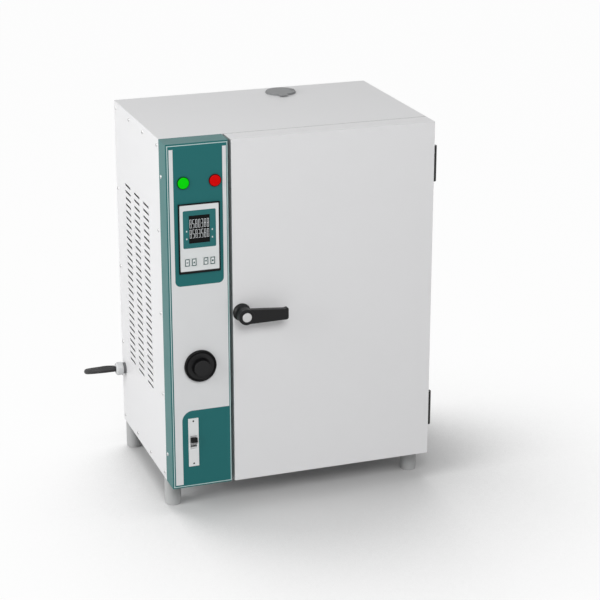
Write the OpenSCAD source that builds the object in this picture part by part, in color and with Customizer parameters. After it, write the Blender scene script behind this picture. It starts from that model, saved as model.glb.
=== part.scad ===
// Laboratory heating oven: sheet-metal casing, insulated chamber, side-hung door
// and a control housing that stands level with the door.

/* [Casing] */
// Width of the casing
case_w = 466; // [430:1:540]
// Height of the casing without its feet
case_h = 600; // [560:1:700]
// Depth of the casing without its door
case_d = 290; // [270:1:360]
// Thickness of the casing's sheet metal
sheet = 1.2; // [1:0.1:1.6]
// Leg length of the corner posts and sheet flanges
post = 16; // [14:1:20]
// Distance of the side and back screws from the panel's edge
screw_edge = 11; // [10:0.5:13]
// Height of a screw head
head_h = 1.5; // [1:0.1:2]
// Diameter of a screw head
head_d = 6.6; // [5:0.1:8]
// Diameter of a screw's shank
screw_d = 3.4; // [3:0.1:4]

/* [Feet] */
// Height of the feet
foot_h = 50; // [30:1:70]
// Diameter of the feet
foot_d = 28; // [24:1:36]

/* [Louvre slots] */
// Number of slots in a column
slot_rows = 28; // [10:1:30]
// Number of columns
slot_cols = 3; // [1:1:3]
// Length of a slot
slot_w = 36.6; // [20:0.1:44]
// Height of a slot
slot_h = 4; // [2:0.1:6]
// Spacing of the rows
slot_pitch = 11.94; // [9:0.01:12.5]
// Spacing of the columns
slot_col_pitch = 60; // [50:1:66]
// Distance of the first column's centre from the casing's back
slot_back = 79; // [60:1:85]
// Height of the lowest row over the casing's floor
slot_low = 142; // [120:1:170]

/* [Chamber] */
// Insulated wall at each side of the chamber
wall_side = 45; // [36:1:55]
// Insulated wall over and under the chamber
wall_flat = 45; // [36:1:60]
// Insulated wall behind the chamber
wall_back = 25; // [20:1:34]
// Thickness of the chamber's sheet
liner = 1; // [0.8:0.1:1.5]
// Width of a shelf rail
rail_w = 10; // [8:1:14]
// Thickness of a shelf rail
rail_t = 1.5; // [1:0.1:2.5]
// Height of the lower shelf's rail over the chamber floor
shelf_low = 130; // [110:1:160]
// Height of the upper shelf's rail over the lower one
shelf_rise = 180; // [150:1:220]
// Thickness of a shelf's rim bars
shelf_bar = 5; // [4:0.5:7]
// Diameter of a shelf's wires
wire_d = 2.6; // [2:0.1:3.5]
// Number of wires in a shelf
wires = 15; // [8:1:20]
// Room between a shelf and what it slides past
shelf_play = 2; // [1:0.5:4]

/* [Heater and probe] */
// Diameter of the heater tube
heater_d = 8; // [6:0.5:10]
// Height of the heater tube over the chamber floor
heater_z = 30; // [20:1:50]
// Distance between the heater's passes
heater_pitch = 44; // [36:1:54]
// Number of the heater's passes
heater_passes = 4; // [2:2:4]
// Length of the heater's cold end in the wiring space
heater_tail = 14; // [10:1:20]
// Diameter of the temperature probe
probe_d = 6; // [4:0.5:8]
// Length of the probe inside the chamber
probe_in = 60; // [40:1:90]
// Height of the probe over the chamber floor
probe_z = 262; // [220:1:285]

/* [Door] */
// Thickness of the door
door_t = 40; // [34:1:50]
// Gap between the door and the control housing
door_gap = 4.2; // [2:0.1:6]
// Gap between the door's rim and the casing
rim_gap = 1.5; // [1:0.1:2.5]
// Depth of the door's inner panel behind its rim, for the gasket
pan_deep = 8; // [7.5:0.1:10]
// Width of the gasket
gasket_w = 12; // [8:1:16]
// Distance of the gasket from the chamber's mouth
gasket_off = 3; // [1:0.5:5]
// Largest opening angle that the hinges allow
door_open = 170; // [90:5:175]

/* [Hinges] */
// Height of a hinge
hinge_h = 62; // [50:1:80]
// Radius of a hinge's barrel
barrel_r = 7; // [6:0.5:8]
// Distance of the hinge axis from the casing's side
axis_out = 11.5; // [10.5:0.5:14]
// Distance of the hinge axis in front of the casing
axis_fwd = 6; // [5:0.5:7]
// Radius of a hinge pin
pin_r = 3; // [2:0.25:4]
// Thickness of a hinge leaf
leaf_t = 2; // [1.5:0.1:2.5]
// Depth of a hinge leaf
leaf_w = 25; // [18:1:30]
// Distance of the upper hinge's middle from the casing's top
hinge_top = 81; // [60:1:120]
// Distance of the lower hinge's middle from the casing's floor
hinge_low = 72; // [60:1:120]

/* [Handle] */
// Height of the handle over the casing's floor
handle_z = 304; // [260:1:340]
// Distance of the handle's axis from the door's free edge
handle_in = 15; // [14:0.5:16]
// Radius of the rosette
rosette_r = 15.3; // [13:0.1:18]
// Height of the rosette
rosette_h = 13; // [10:0.5:15]
// Radius of the lever's hub
hub_r = 13.5; // [11:0.1:14]
// Length of the lever from its axis
lever_l = 73; // [60:1:100]
// Height of the lever's free end
lever_end_h = 19; // [14:0.5:22]
// Drop of the lever's free end below its axis
lever_drop = 2.5; // [0:0.5:5]
// Thickness of the lever
lever_t = 13; // [10:0.5:16]
// Gap between the rosette and the lever
lever_gap = 4; // [1:0.5:8]
// Radius of the cap in the hub
cap_r = 8.2; // [6:0.1:9]
// Radius of the latch spindle
spindle_r = 5; // [4:0.25:6]
// Reach of the latch's cam from its axis
cam_reach = 12; // [10:0.5:12.5]
// Height of the latch's strike plate
strike_h = 44; // [30:1:60]
// Thickness of the latch's cam
cam_t = 3; // [2:0.25:3.25]

/* [Control housing] */
// Width of the control housing
housing_w = 105.5; // [103:0.5:112]
// Radius of its right front edge
housing_r = 5; // [3:0.5:8]
// Thickness of the printed fascia plate
fascia_t = 0.6; // [0.4:0.1:1.2]
// Margin round the fascia plate
fascia_edge = 1.6; // [1:0.1:3]
// Diameter of a lamp's lens
lamp_d = 21; // [16:0.5:24]
// Height of a lamp's lens over the fascia
lamp_h = 2.6; // [1:0.1:5]
// Distance between the lamps
lamp_span = 53.3; // [40:0.1:60]
// Distance of the lamps from the housing's top
lamp_top = 65; // [50:0.5:75]
// Diameter of a lamp's body behind the fascia
lamp_body_d = 16; // [12:0.5:18]
// Length of a lamp's body
lamp_body_l = 30; // [20:1:36]

/* [Controller] */
// Width of the controller's bezel
ctrl_w = 70.3; // [66:0.1:76]
// Height of the controller's bezel
ctrl_h = 118; // [110:0.5:122]
// Height of the bezel over the fascia
ctrl_out = 3; // [2.5:0.1:6]
// Width of the bezel's rim
ctrl_rim = 1.7; // [1.2:0.1:2.4]
// Depth of the controller's body behind the fascia
ctrl_deep = 72; // [50:1:100]
// Distance of the controller's middle from the housing's top
ctrl_top = 159.2; // [155:0.1:170]
// Thickness of the white face plate
face_t = 1.2; // [1:0.1:1.5]
// Width of the display window
disp_w = 35; // [30:0.5:40]
// Height of the display window
disp_h = 46.6; // [40:0.2:52]
// Distance of the display's middle over the controller's middle
disp_up = 15.5; // [12:0.5:18]
// Width of a key
key_w = 8; // [6:0.1:8.4]
// Height of a key
key_h = 12.6; // [10:0.1:14]
// Distance of the keys' middle below the controller's middle
key_down = 40; // [36:0.5:44]
// Distance between the middles of the two keys of a pair
key_pitch = 11.5; // [10:0.1:13]
// Distance between the middles of the two pairs of keys
key_span = 31.5; // [28:0.1:34]
// Travel of a key
key_travel = 0.8; // [0.4:0.1:1]

/* [Thermostat] */
// Diameter of the knob
knob_d = 55; // [50:1:64]
// Height of the knob
knob_h = 16; // [12:0.5:22]
// Height of the knob's middle over the housing's floor
knob_z = 218.7; // [200:0.1:230]
// Distance of the knob's middle to the left of the controller's
knob_off = 2.4; // [0:0.1:4]
// Radius of the thermostat's shaft
shaft_r = 3; // [2:0.25:4]
// Side of the thermostat's body
therm_w = 42; // [36:1:48]
// Depth of the thermostat's body
therm_deep = 30; // [24:1:40]

/* [Circuit breaker] */
// Width of the breaker's cover plate
plate_w = 17.8; // [17.4:0.1:20]
// Height of the breaker's cover plate
plate_h = 87; // [80:1:96]
// Thickness of the breaker's cover plate
plate_t = 1.5; // [1:0.1:2.5]
// Distance of the breaker's middle from the housing's left side
breaker_x = 37.2; // [30:0.1:60]
// Height of the breaker's middle over the housing's floor
breaker_z = 82; // [70:0.5:95]
// Width of the breaker's toggle
toggle_w = 10.8; // [9:0.1:11]
// Height of the plate's slot for the toggle
toggle_slot = 24.6; // [24:0.1:27]
// Angle between the toggle's two positions
toggle_turn = 46; // [40:1:48]
// Depth of the breaker's body behind the fascia
breaker_deep = 58; // [40:1:70]

/* [Vent] */
// Diameter of the vent's base plate
vent_d = 54; // [48:1:64]
// Diameter of the vent pipe's bore
vent_bore = 25; // [24:0.5:28]
// Distance of the vent's axis from the casing's back
vent_back = 42; // [40:1:60]
// Distance of the vent's axis from the casing's right side
vent_right = 173.6; // [120:0.1:260]
// Thickness of the base plate and of the damper disc
vent_t = 1.8; // [1.4:0.1:2.4]

/* [Mains lead] */
// Diameter of the lead
cord_d = 10; // [9:0.5:10.5]
// Height of the cable gland over the casing's floor
gland_z = 107; // [90:1:115]
// Distance of the cable gland from the casing's back
gland_back = 19.75; // [18:0.25:30]
// Radius of the gland's nut
gland_r = 12; // [10:0.5:14]
// Length of the gland outside the casing
gland_out = 18; // [16:0.5:24]
// Radius of the coil at the middle of its turns
coil_r = 54; // [50:1:60]

/* [Hidden] */
$fn = 48;

// Clearances
fit = 0.3;      // between a piece and the cut-out that it sits in
run = 0.05;     // radial clearance of a turning fit
cut = 1;        // how far a cutter runs past the faces that it cuts

// The whole box, without the lead, is centred on the origin
hinge_reach = axis_out + barrel_r;
lever_back = rosette_h + lever_gap;
cap_out = 1;
handle_reach = lever_back + lever_t + cap_out;
x_l = -(case_w + hinge_reach + head_h) / 2 + head_h;
x_r = x_l + case_w;
y_b = (case_d + door_t + handle_reach + head_h) / 2 - head_h;
y_f = y_b - case_d;
y_d = y_f - door_t;
z_b = foot_h;
z_t = z_b + case_h;

// Control housing and door side by side
housing_x = x_l + housing_w;
door_x = housing_x + door_gap;
y_pan = y_f - pan_deep;
fascia_y = y_d - fascia_t;

// Chamber, measured to its clear inside
ch_x0 = door_x + wall_side;
ch_x1 = x_r - wall_side;
ch_z0 = z_b + wall_flat;
ch_z1 = z_t - wall_flat;
ch_y0 = y_f + sheet;
ch_y1 = y_b - wall_back;

// Screw rows on the side and back panels
screw_z0 = z_b + screw_edge;
screw_z1 = z_t - screw_edge - sheet;
screw_rows = 5;
screw_zs = [for (i = [0 : screw_rows - 1]) screw_z0 + (screw_z1 - screw_z0) * i / (screw_rows - 1)];
side_ys = [y_f + screw_edge, y_b - screw_edge];
side_mid_ys = [for (i = [1, 2]) side_ys[0] + (side_ys[1] - side_ys[0]) * i / 3];
back_xs = [x_l + screw_edge, x_r - screw_edge];
back_mid_xs = [for (i = [1, 2]) back_xs[0] + (back_xs[1] - back_xs[0]) * i / 3];
shank_l = 6;
housing_screw_y = y_f - screw_edge;
housing_screw_low = 53;
housing_screw_top = 60;
housing_screw_zs = [z_b + housing_screw_low, z_t - housing_screw_top];

// Controls: they stand a little right of the housing's middle, the lamps a little less so
control_off = 0.75;
lamp_off = 2.1;
lamp_z = z_t - lamp_top;
ctrl_x = x_l + housing_w / 2 + control_off;
ctrl_z = z_t - ctrl_top;
lamp_mid = x_l + housing_w / 2 + lamp_off;
lamp_xs = [lamp_mid - lamp_span / 2, lamp_mid + lamp_span / 2];
ctrl_body_w = ctrl_w - 6;
ctrl_body_h = ctrl_h - 8;
ctrl_front = fascia_y - ctrl_out;
face_sunk = 0.4;
face_front = ctrl_front + face_sunk;
face_back = face_front + face_t;
key_xs = [for (a = [-1, 1], b = [-1, 1]) ctrl_x + a * key_span / 2 + b * key_pitch / 2];
key_proud = 0.7;
pocket_deep = face_t + key_travel + fit;
knob_x = ctrl_x - knob_off;
knob_cz = z_b + knob_z;
knob_gap = 0.6;
bush_r = shaft_r + 2;
brk_x = x_l + breaker_x;
brk_z = z_b + breaker_z;
plate_y = fascia_y - plate_t;
toggle_axis = 9;
toggle_y = plate_y + toggle_axis;
toggle_play = 0.2;
nose_w = toggle_w + 2.6;
nose_h = toggle_slot + 4;
cavity_r = toggle_axis + 2.4;

// Handle and latch
hx = door_x + handle_in;
hz = z_b + handle_z;
strike_t = pan_deep - cam_t - 1.5;

// Hinges
ax = x_r + axis_out;
ay = y_f - axis_fwd;
hinge_zs = [z_b + hinge_low, z_t - hinge_top];
knuckle_gap = 0.4;
knuckle_h = (hinge_h - 2 * knuckle_gap) / 3;

// Vent
vent_x = x_r - vent_right;
vent_y = y_b - vent_back;
pipe_wall = 1;
vent_gap = 0.1;
rivet_r = 2;
rivet_in = 6;
pivot_x = vent_x + vent_d / 2 - rivet_in;

// Mains lead: out of the gland, a half loop round to the back, and down to the coil on the floor
gland_y = y_b - gland_back;
gland_cz = z_b + gland_z;
gland_hex_r = gland_r * 1.18;
exit_x = x_l - gland_out;
floor_z = cord_d / 2;
lead_y = 208;
coil_x = 0;
coil_y = lead_y + coil_r + cord_d / 2;
coil_layers = 2;
loop_r = 4 * cord_d;
loop_fall = 0.36;
loop_x = exit_x - 4;
loop_end = [gland_y + 2 * loop_r, gland_cz - loop_fall * 2 * loop_r];
// Points of the drop: X, then the shares of the way left to the coil's line and to the floor
drop = [[-254, 1, 1], [-236, 1, 0.965], [-220, 0.97, 0.856], [-200, 0.875, 0.638], [-179, 0.75, 0.42],
    [-158, 0.59, 0.193], [-146, 0.47, 0.092], [-129, 0.31, 0.021], [-111, 0.19, 0.002], [-92, 0.08, 0],
    [-72, 0.02, 0], [-52, 0, 0], [-35, 0, 0], [-18, 0, 0]];
route = [[exit_x, gland_y, gland_cz],
    for (t = [15 : 30 : 165]) [loop_x - loop_r * sin(t), gland_y + loop_r * (1 - cos(t)),
        gland_cz - loop_fall * loop_r * (1 - cos(t))],
    for (p = drop) [p[0], lead_y + (loop_end[0] - lead_y) * p[1], floor_z + (loop_end[1] - floor_z) * p[2]]];
tail_z = floor_z + cord_d;
tail_x0 = 18;
tail_x1 = 36;
plug_w = 36;
plug_l = 44;
relief_l = 30;
plug_pin_l = 19;

steel_white = [0.86, 0.86, 0.86];
teal = [0.16, 0.4, 0.38];
dark = [0.12, 0.12, 0.12];
stainless = [0.7, 0.71, 0.72];

// A bar along X, Y or Z from a low to a high corner
module block(low, high) {
    translate(low) cube(high - low);
}

// Cylinders along each axis, from a start point
module rod_x(p, r, l) {
    translate(p) rotate([0, 90, 0]) cylinder(r = r, h = l);
}

module rod_y(p, r, l) {
    translate(p) rotate([-90, 0, 0]) cylinder(r = r, h = l);
}

module rod_z(p, r, l) {
    translate(p) cylinder(r = r, h = l);
}

// A screw along +Z: its head stands on z = 0 and its shank goes down
module screw() {
    rotate_extrude() polygon([[0, -shank_l], [screw_d / 2, -shank_l], [screw_d / 2, 0],
        [head_d / 2, 0], [head_d / 2, head_h * 0.4], [head_d / 3, head_h * 0.85], [0, head_h]]);
}

// Turns what stands on z = 0 to point along -X, +X or +Y
module facing(dir) {
    rotate(dir == "left" ? [0, -90, 0] : dir == "right" ? [0, 90, 0] : [-90, 0, 0]) children();
}

// The casing screw places, with the children drawn at each one
module at_side_screws(x, dir) {
    for (z = screw_zs, y = side_ys) translate([x, y, z]) facing(dir) children();
    for (z = [screw_z0, screw_z1], y = side_mid_ys) translate([x, y, z]) facing(dir) children();
}

module at_back_screws() {
    for (z = screw_zs, x = back_xs) translate([x, y_b, z]) facing("back") children();
    for (z = [screw_z0, screw_z1], x = back_mid_xs) translate([x, y_b, z]) facing("back") children();
}

module at_housing_screws() {
    for (z = housing_screw_zs) translate([x_l, housing_screw_y, z]) facing("left") children();
}

module screw_bore() {
    translate([0, 0, -shank_l - cut]) cylinder(d = screw_d + 0.2, h = shank_l + 2 * cut);
}

module left_bores() {
    at_side_screws(x_l, "left") screw_bore();
}

module right_bores() {
    at_side_screws(x_r, "right") screw_bore();
}

module back_bores() {
    at_back_screws() screw_bore();
}

module case_screws() {
    color(stainless) {
        at_side_screws(x_l, "left") screw();
        at_side_screws(x_r, "right") screw();
        at_back_screws() screw();
        at_housing_screws() screw();
    }
}

// Casing sheets
module slot_cutter(y, z) {
    half = (slot_w - slot_h) / 2;
    block([x_l - cut, y - half, z - slot_h / 2], [x_l + sheet + cut, y + half, z + slot_h / 2]);
    for (s = [-1, 1]) rod_x([x_l - cut, y + s * half, z], slot_h / 2, sheet + 2 * cut);
}

module left_side_panel() {
    color(steel_white) difference() {
        block([x_l, y_f, z_b], [x_l + sheet, y_b, z_t - sheet]);
        left_bores();
        for (c = [0 : slot_cols - 1], r = [0 : slot_rows - 1])
            slot_cutter(y_b - slot_back - c * slot_col_pitch, z_b + slot_low + r * slot_pitch);
        rod_x([x_l - cut, gland_y, gland_cz], gland_r * 0.7 + fit, sheet + 2 * cut);
    }
}

module right_side_panel() {
    color(steel_white) difference() {
        block([x_r - sheet, y_f, z_b], [x_r, y_b, z_t - sheet]);
        right_bores();
    }
}

// A tray: a plate with a flange along its left and right edges, between the corner posts
module tray(z_plate, z_low, z_high) {
    block([x_l, y_f, z_plate], [x_r, y_b, z_plate + sheet]);
    for (x = [x_l + sheet, x_r - 2 * sheet])
        block([x, y_f + sheet + post, z_low], [x + sheet, y_b - sheet - post, z_high]);
    block([x_l + sheet + post, y_b - 2 * sheet, z_low], [x_r - sheet - post, y_b - sheet, z_high]);
}

module top_panel() {
    color(steel_white) difference() {
        tray(z_t - sheet, z_t - sheet - post, z_t - sheet);
        left_bores();
        right_bores();
        back_bores();
        rod_z([vent_x, vent_y, z_t - sheet - cut], vent_bore / 2 + pipe_wall + fit, sheet + 2 * cut);
    }
}

module base_panel() {
    color(steel_white) difference() {
        union() {
            block([x_l + sheet, y_f, z_b], [x_r - sheet, y_b - sheet, z_b + sheet]);
            for (x = [x_l + sheet, x_r - 2 * sheet])
                block([x, y_f + sheet + post, z_b + sheet],
                    [x + sheet, y_b - sheet - post, z_b + sheet + post]);
            block([x_l + sheet + post, y_b - 2 * sheet, z_b + sheet],
                [x_r - sheet - post, y_b - sheet, z_b + sheet + post]);
        }
        left_bores();
        right_bores();
        back_bores();
    }
}

module back_panel() {
    color(steel_white) difference() {
        block([x_l + sheet, y_b - sheet, z_b], [x_r - sheet, y_b, z_t - sheet]);
        back_bores();
    }
}

// Angle posts in the four corners; the left front one reaches into the control housing,
// and the left rear one is cut out round the cable gland's locknut
module corner_posts() {
    z0 = z_b + sheet;
    z1 = z_t - sheet;
    xl = x_l + sheet;
    xr = x_r - sheet;
    yb = y_b - sheet;
    color("silver") difference() {
        union() {
            block([xl, y_f - post, z0 + sheet], [xl + sheet, y_f + sheet + post, z1 - sheet]);
            block([xl + sheet, y_f, z0], [xl + post, y_f + sheet, z1]);
            block([xr - sheet, y_f + sheet, z0], [xr, y_f + sheet + post, z1]);
            block([xr - post, y_f + sheet, z0], [xr - sheet, y_f + 2 * sheet, z1]);
            for (x = [xl, xr - sheet]) block([x, yb - post, z0], [x + sheet, yb, z1]);
            for (x = [xl + sheet, xr - post]) block([x, yb - sheet, z0], [x + post - sheet, yb, z1]);
        }
        left_bores();
        right_bores();
        back_bores();
        at_housing_screws() screw_bore();
        rod_x([x_l, gland_y, gland_cz], gland_hex_r + 1, post);
    }
}

module front_frame() {
    color(stainless) difference() {
        block([housing_x, y_f, z_b + sheet], [x_r - sheet, y_f + sheet, z_t - sheet]);
        block([ch_x0, y_f - cut, ch_z0], [ch_x1, y_f + sheet + cut, ch_z1]);
    }
}

// Sheet between the wiring space and the insulated body
module partition_panel() {
    color("silver") difference() {
        block([housing_x - sheet, y_f, z_b + sheet], [housing_x, y_b - 2 * sheet, z_t - sheet]);
        for (z = [z_b, z_t - 2 * sheet - post])
            block([housing_x - sheet - cut, y_b - 2 * sheet - post - cut, z],
                [housing_x + cut, y_b, z + 2 * sheet + post]);
        heater_bores();
        probe_bore();
    }
}

// Chamber liner: floor and roof span the side walls, the back wall closes them
module chamber_floor() {
    color(stainless) block([ch_x0 - liner, ch_y0, ch_z0 - liner], [ch_x1 + liner, ch_y1, ch_z0]);
}

module chamber_roof() {
    color(stainless) difference() {
        block([ch_x0 - liner, ch_y0, ch_z1], [ch_x1 + liner, ch_y1, ch_z1 + liner]);
        rod_z([vent_x, vent_y, ch_z1 - cut], vent_bore / 2, liner + 2 * cut);
    }
}

module chamber_left_wall() {
    color(stainless) difference() {
        block([ch_x0 - liner, ch_y0, ch_z0], [ch_x0, ch_y1, ch_z1]);
        heater_bores();
        probe_bore();
    }
}

module chamber_right_wall() {
    color(stainless) block([ch_x1, ch_y0, ch_z0], [ch_x1 + liner, ch_y1, ch_z1]);
}

module chamber_back_wall() {
    color(stainless)
        block([ch_x0 - liner, ch_y1, ch_z0 - liner], [ch_x1 + liner, ch_y1 + liner, ch_z1 + liner]);
}

module insulation_slabs() {
    z0 = z_b + 2 * sheet + post;
    z1 = z_t - 2 * sheet - post;
    y0 = y_f + 2 * sheet + post;
    color("khaki") difference() {
        union() {
            block([housing_x, ch_y0, ch_z0], [ch_x0 - liner, ch_y1, ch_z1]);
            block([ch_x1 + liner, y0, ch_z0], [x_r - sheet, ch_y1, ch_z1]);
            block([housing_x, ch_y0, z_b + sheet], [x_r - sheet - post, ch_y1, ch_z0 - liner]);
            block([housing_x, ch_y0, ch_z1 + liner], [x_r - sheet - post, ch_y1, z_t - sheet]);
            block([housing_x, ch_y1 + liner, z0], [x_r - sheet - post, y_b - 2 * sheet, z1]);
        }
        heater_bores();
        probe_bore();
        rod_z([vent_x, vent_y, ch_z1], vent_bore / 2 + pipe_wall + fit, wall_flat);
    }
}

module shelf_rails() {
    color(stainless) for (k = [0, 1]) {
        z = ch_z0 + shelf_low + k * shelf_rise;
        for (s = [[ch_x0, 1], [ch_x1, -1]]) {
            lip = s[0] + s[1] * rail_t;
            tip = s[0] + s[1] * rail_w;
            block([min(s[0], lip), ch_y0 + rail_w, z - rail_w], [max(s[0], lip), ch_y1 - rail_w, z]);
            block([min(lip, tip), ch_y0 + rail_w, z - rail_t], [max(lip, tip), ch_y1 - rail_w, z]);
        }
    }
}

module shelf(k) {
    x0 = ch_x0 + shelf_play;
    x1 = ch_x1 - shelf_play;
    y0 = ch_y0 + rail_w;
    y1 = ch_y1 - rail_w;
    z = ch_z0 + shelf_low + k * shelf_rise;
    color(stainless) union() {
        difference() {
            block([x0, y0, z], [x1, y1, z + shelf_bar]);
            block([x0 + shelf_bar, y0 + shelf_bar, z - cut],
                [x1 - shelf_bar, y1 - shelf_bar, z + shelf_bar + cut]);
        }
        for (i = [1 : wires])
            rod_y([x0 + (x1 - x0) * i / (wires + 1), y0 + shelf_bar, z + shelf_bar / 2], wire_d / 2,
                y1 - y0 - 2 * shelf_bar);
    }
}

module upper_shelf() {
    shelf(1);
}

module lower_shelf() {
    shelf(0);
}

// Heater: straight passes across the chamber joined by half-round bends
heater_cy = (ch_y0 + ch_y1) / 2;
heater_ys = [for (i = [0 : heater_passes - 1]) heater_cy + (i - (heater_passes - 1) / 2) * heater_pitch];
heater_cz = ch_z0 + heater_z;
bend_room = 14;
heater_x0 = ch_x0 + bend_room + heater_pitch / 2;
heater_x1 = ch_x1 - bend_room - heater_pitch / 2;

module heater_bend(x, y, turn) {
    translate([x, y, heater_cz]) rotate([0, 0, turn]) rotate_extrude(angle = 180)
        translate([heater_pitch / 2, 0]) circle(d = heater_d);
}

module heater_bores() {
    for (y = [heater_ys[0], heater_ys[heater_passes - 1]])
        rod_x([housing_x - sheet - cut, y, heater_cz], heater_d / 2 + fit,
            ch_x0 - housing_x + sheet + 2 * cut);
}

module heater_element() {
    last = heater_passes - 1;
    color([0.35, 0.33, 0.32]) {
        for (i = [0 : last]) {
            start = (i == 0 || i == last) ? housing_x - sheet - heater_tail : heater_x0;
            rod_x([start, heater_ys[i], heater_cz], heater_d / 2, heater_x1 - start);
        }
        for (i = [0 : last - 1])
            heater_bend(i % 2 == 0 ? heater_x1 : heater_x0, (heater_ys[i] + heater_ys[i + 1]) / 2,
                i % 2 == 0 ? -90 : 90);
    }
}

module heater_brackets() {
    bracket_t = 2;
    inset = 20;
    lug = 12;
    color(stainless) for (x = [heater_x0 + inset, heater_x1 - inset - bracket_t]) difference() {
        block([x, heater_ys[0] - lug, ch_z0],
            [x + bracket_t, heater_ys[heater_passes - 1] + lug, heater_cz + heater_d]);
        for (y = heater_ys) rod_x([x - cut, y, heater_cz], heater_d / 2 + 0.1, bracket_t + 2 * cut);
    }
}

probe_y = (ch_y0 + ch_y1) / 2;

module probe_bore() {
    rod_x([housing_x - sheet - cut, probe_y, ch_z0 + probe_z], probe_d / 2 + 0.1,
        ch_x0 - housing_x + sheet + 2 * cut);
}

module temperature_probe() {
    nut_r = probe_d;
    nut_h = 5;
    behind = 20;
    color(stainless) {
        rod_x([housing_x - sheet - behind, probe_y, ch_z0 + probe_z], probe_d / 2,
            ch_x0 + probe_in - housing_x + sheet + behind);
        rod_x([housing_x - sheet - nut_h, probe_y, ch_z0 + probe_z], nut_r, nut_h);
    }
}

// Control housing: a folded box, open at its back, with a rounded right front edge
module housing_prism(x0, x1, y0, z0, z1, r) {
    block([x0, y0, z0], [x1 - r, y_f, z1]);
    block([x1 - r - cut, y0 + r, z0], [x1, y_f, z1]);
    rod_z([x1 - r, y0 + r, z0], r, z1 - z0);
}

module control_bores() {
    for (x = lamp_xs)
        rod_y([x, y_d - fascia_t - cut, lamp_z], lamp_body_d / 2 + fit, sheet + fascia_t + 2 * cut);
    block([ctrl_x - ctrl_body_w / 2 - fit, y_d - fascia_t - cut, ctrl_z - ctrl_body_h / 2 - fit],
        [ctrl_x + ctrl_body_w / 2 + fit, y_d + sheet + cut, ctrl_z + ctrl_body_h / 2 + fit]);
    rod_y([knob_x, y_d - fascia_t - cut, knob_cz], bush_r + fit, sheet + fascia_t + 2 * cut);
    block([brk_x - nose_w / 2 - fit, y_d - fascia_t - cut, brk_z - nose_h / 2 - fit],
        [brk_x + nose_w / 2 + fit, y_d + sheet + cut, brk_z + nose_h / 2 + fit]);
}

module control_housing() {
    color(teal) difference() {
        housing_prism(x_l, housing_x, y_d, z_b, z_t, housing_r);
        housing_prism(x_l + sheet, housing_x - sheet, y_d + sheet, z_b + sheet, z_t - sheet,
            housing_r - sheet);
        block([x_l + sheet, y_f - cut, z_b + sheet], [housing_x - sheet, y_f + cut, z_t - sheet]);
        control_bores();
        at_housing_screws() screw_bore();
    }
}

module control_fascia() {
    color([0.84, 0.85, 0.85]) difference() {
        block([x_l + fascia_edge, fascia_y, z_b + fascia_edge],
            [housing_x - fascia_edge, y_d, z_t - fascia_edge]);
        control_bores();
    }
}

// A lamp: lens in front of the fascia, body behind it
module lamp(x) {
    rod_y([x, fascia_y, lamp_z], lamp_body_d / 2, lamp_body_l);
    translate([x, fascia_y, lamp_z]) rotate([90, 0, 0]) rotate_extrude()
        polygon([[0, 0], [lamp_d / 2, 0], [lamp_d / 2, lamp_h * 0.7], [lamp_d / 2 - lamp_h * 0.3, lamp_h],
            [0, lamp_h]]);
}

module heater_lamp() {
    color("lime") lamp(lamp_xs[0]);
}

module power_lamp() {
    color("red") lamp(lamp_xs[1]);
}

module centred_block(x, z, w, h, y0, y1) {
    block([x - w / 2, y0, z - h / 2], [x + w / 2, y1, z + h / 2]);
}

module controller_case() {
    color(dark) difference() {
        union() {
            centred_block(ctrl_x, ctrl_z, ctrl_w, ctrl_h, ctrl_front, fascia_y);
            centred_block(ctrl_x, ctrl_z, ctrl_body_w, ctrl_body_h, fascia_y, y_d + ctrl_deep);
        }
        centred_block(ctrl_x, ctrl_z, ctrl_w - 2 * ctrl_rim, ctrl_h - 2 * ctrl_rim, ctrl_front - cut,
            face_back);
        for (x = key_xs)
            centred_block(x, ctrl_z - key_down, key_w + 2 * fit, key_h + 2 * fit, ctrl_front - cut,
                face_back + pocket_deep);
    }
}

module controller_face() {
    color("white") difference() {
        centred_block(ctrl_x, ctrl_z, ctrl_w - 2 * ctrl_rim - fit, ctrl_h - 2 * ctrl_rim - fit,
            face_front, face_back);
        centred_block(ctrl_x, ctrl_z + disp_up, disp_w + fit, disp_h + fit, face_front - cut,
            face_back + cut);
        for (x = key_xs)
            centred_block(x, ctrl_z - key_down, key_w + 2 * fit, key_h + 2 * fit, face_front - cut,
                face_back + cut);
    }
}

module display_window() {
    color("black")
        centred_block(ctrl_x, ctrl_z + disp_up, disp_w, disp_h, face_front - 0.2, face_back);
}

module key(i) {
    color("gainsboro")
        centred_block(key_xs[i], ctrl_z - key_down, key_w, key_h, face_front - key_proud,
            face_back + pocket_deep - key_travel - fit);
}

module key_1() {
    key(0);
}

module key_2() {
    key(1);
}

module key_3() {
    key(2);
}

module key_4() {
    key(3);
}

// Thermostat: body and bush fixed to the housing, shaft fixed in the knob
module thermostat_body() {
    color("dimgray") difference() {
        union() {
            centred_block(knob_x, knob_cz, therm_w, therm_w, y_d + sheet, y_d + sheet + therm_deep);
            rod_y([knob_x, fascia_y, knob_cz], bush_r, sheet + fascia_t + cut);
        }
        rod_y([knob_x, fascia_y - cut, knob_cz], shaft_r + run, sheet + fascia_t + therm_deep / 2 + cut);
    }
}

module thermostat_knob() {
    r = knob_d / 2;
    color(dark) union() {
        translate([knob_x, fascia_y - knob_gap, knob_cz]) rotate([90, 0, 0]) rotate_extrude($fn = 72)
            polygon([[0, 0], [r, 0], [r, 4], [r - 1, 5.5], [r - 3, 5.5], [r - 5, 4], [r * 0.56, 4.6],
                [r * 0.52, knob_h - 1.5], [r * 0.52 - 1.5, knob_h], [0, knob_h]]);
        rod_y([knob_x, fascia_y - knob_gap - cut, knob_cz], shaft_r,
            cut + knob_gap + fascia_t + sheet + therm_deep / 3);
    }
}

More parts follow.
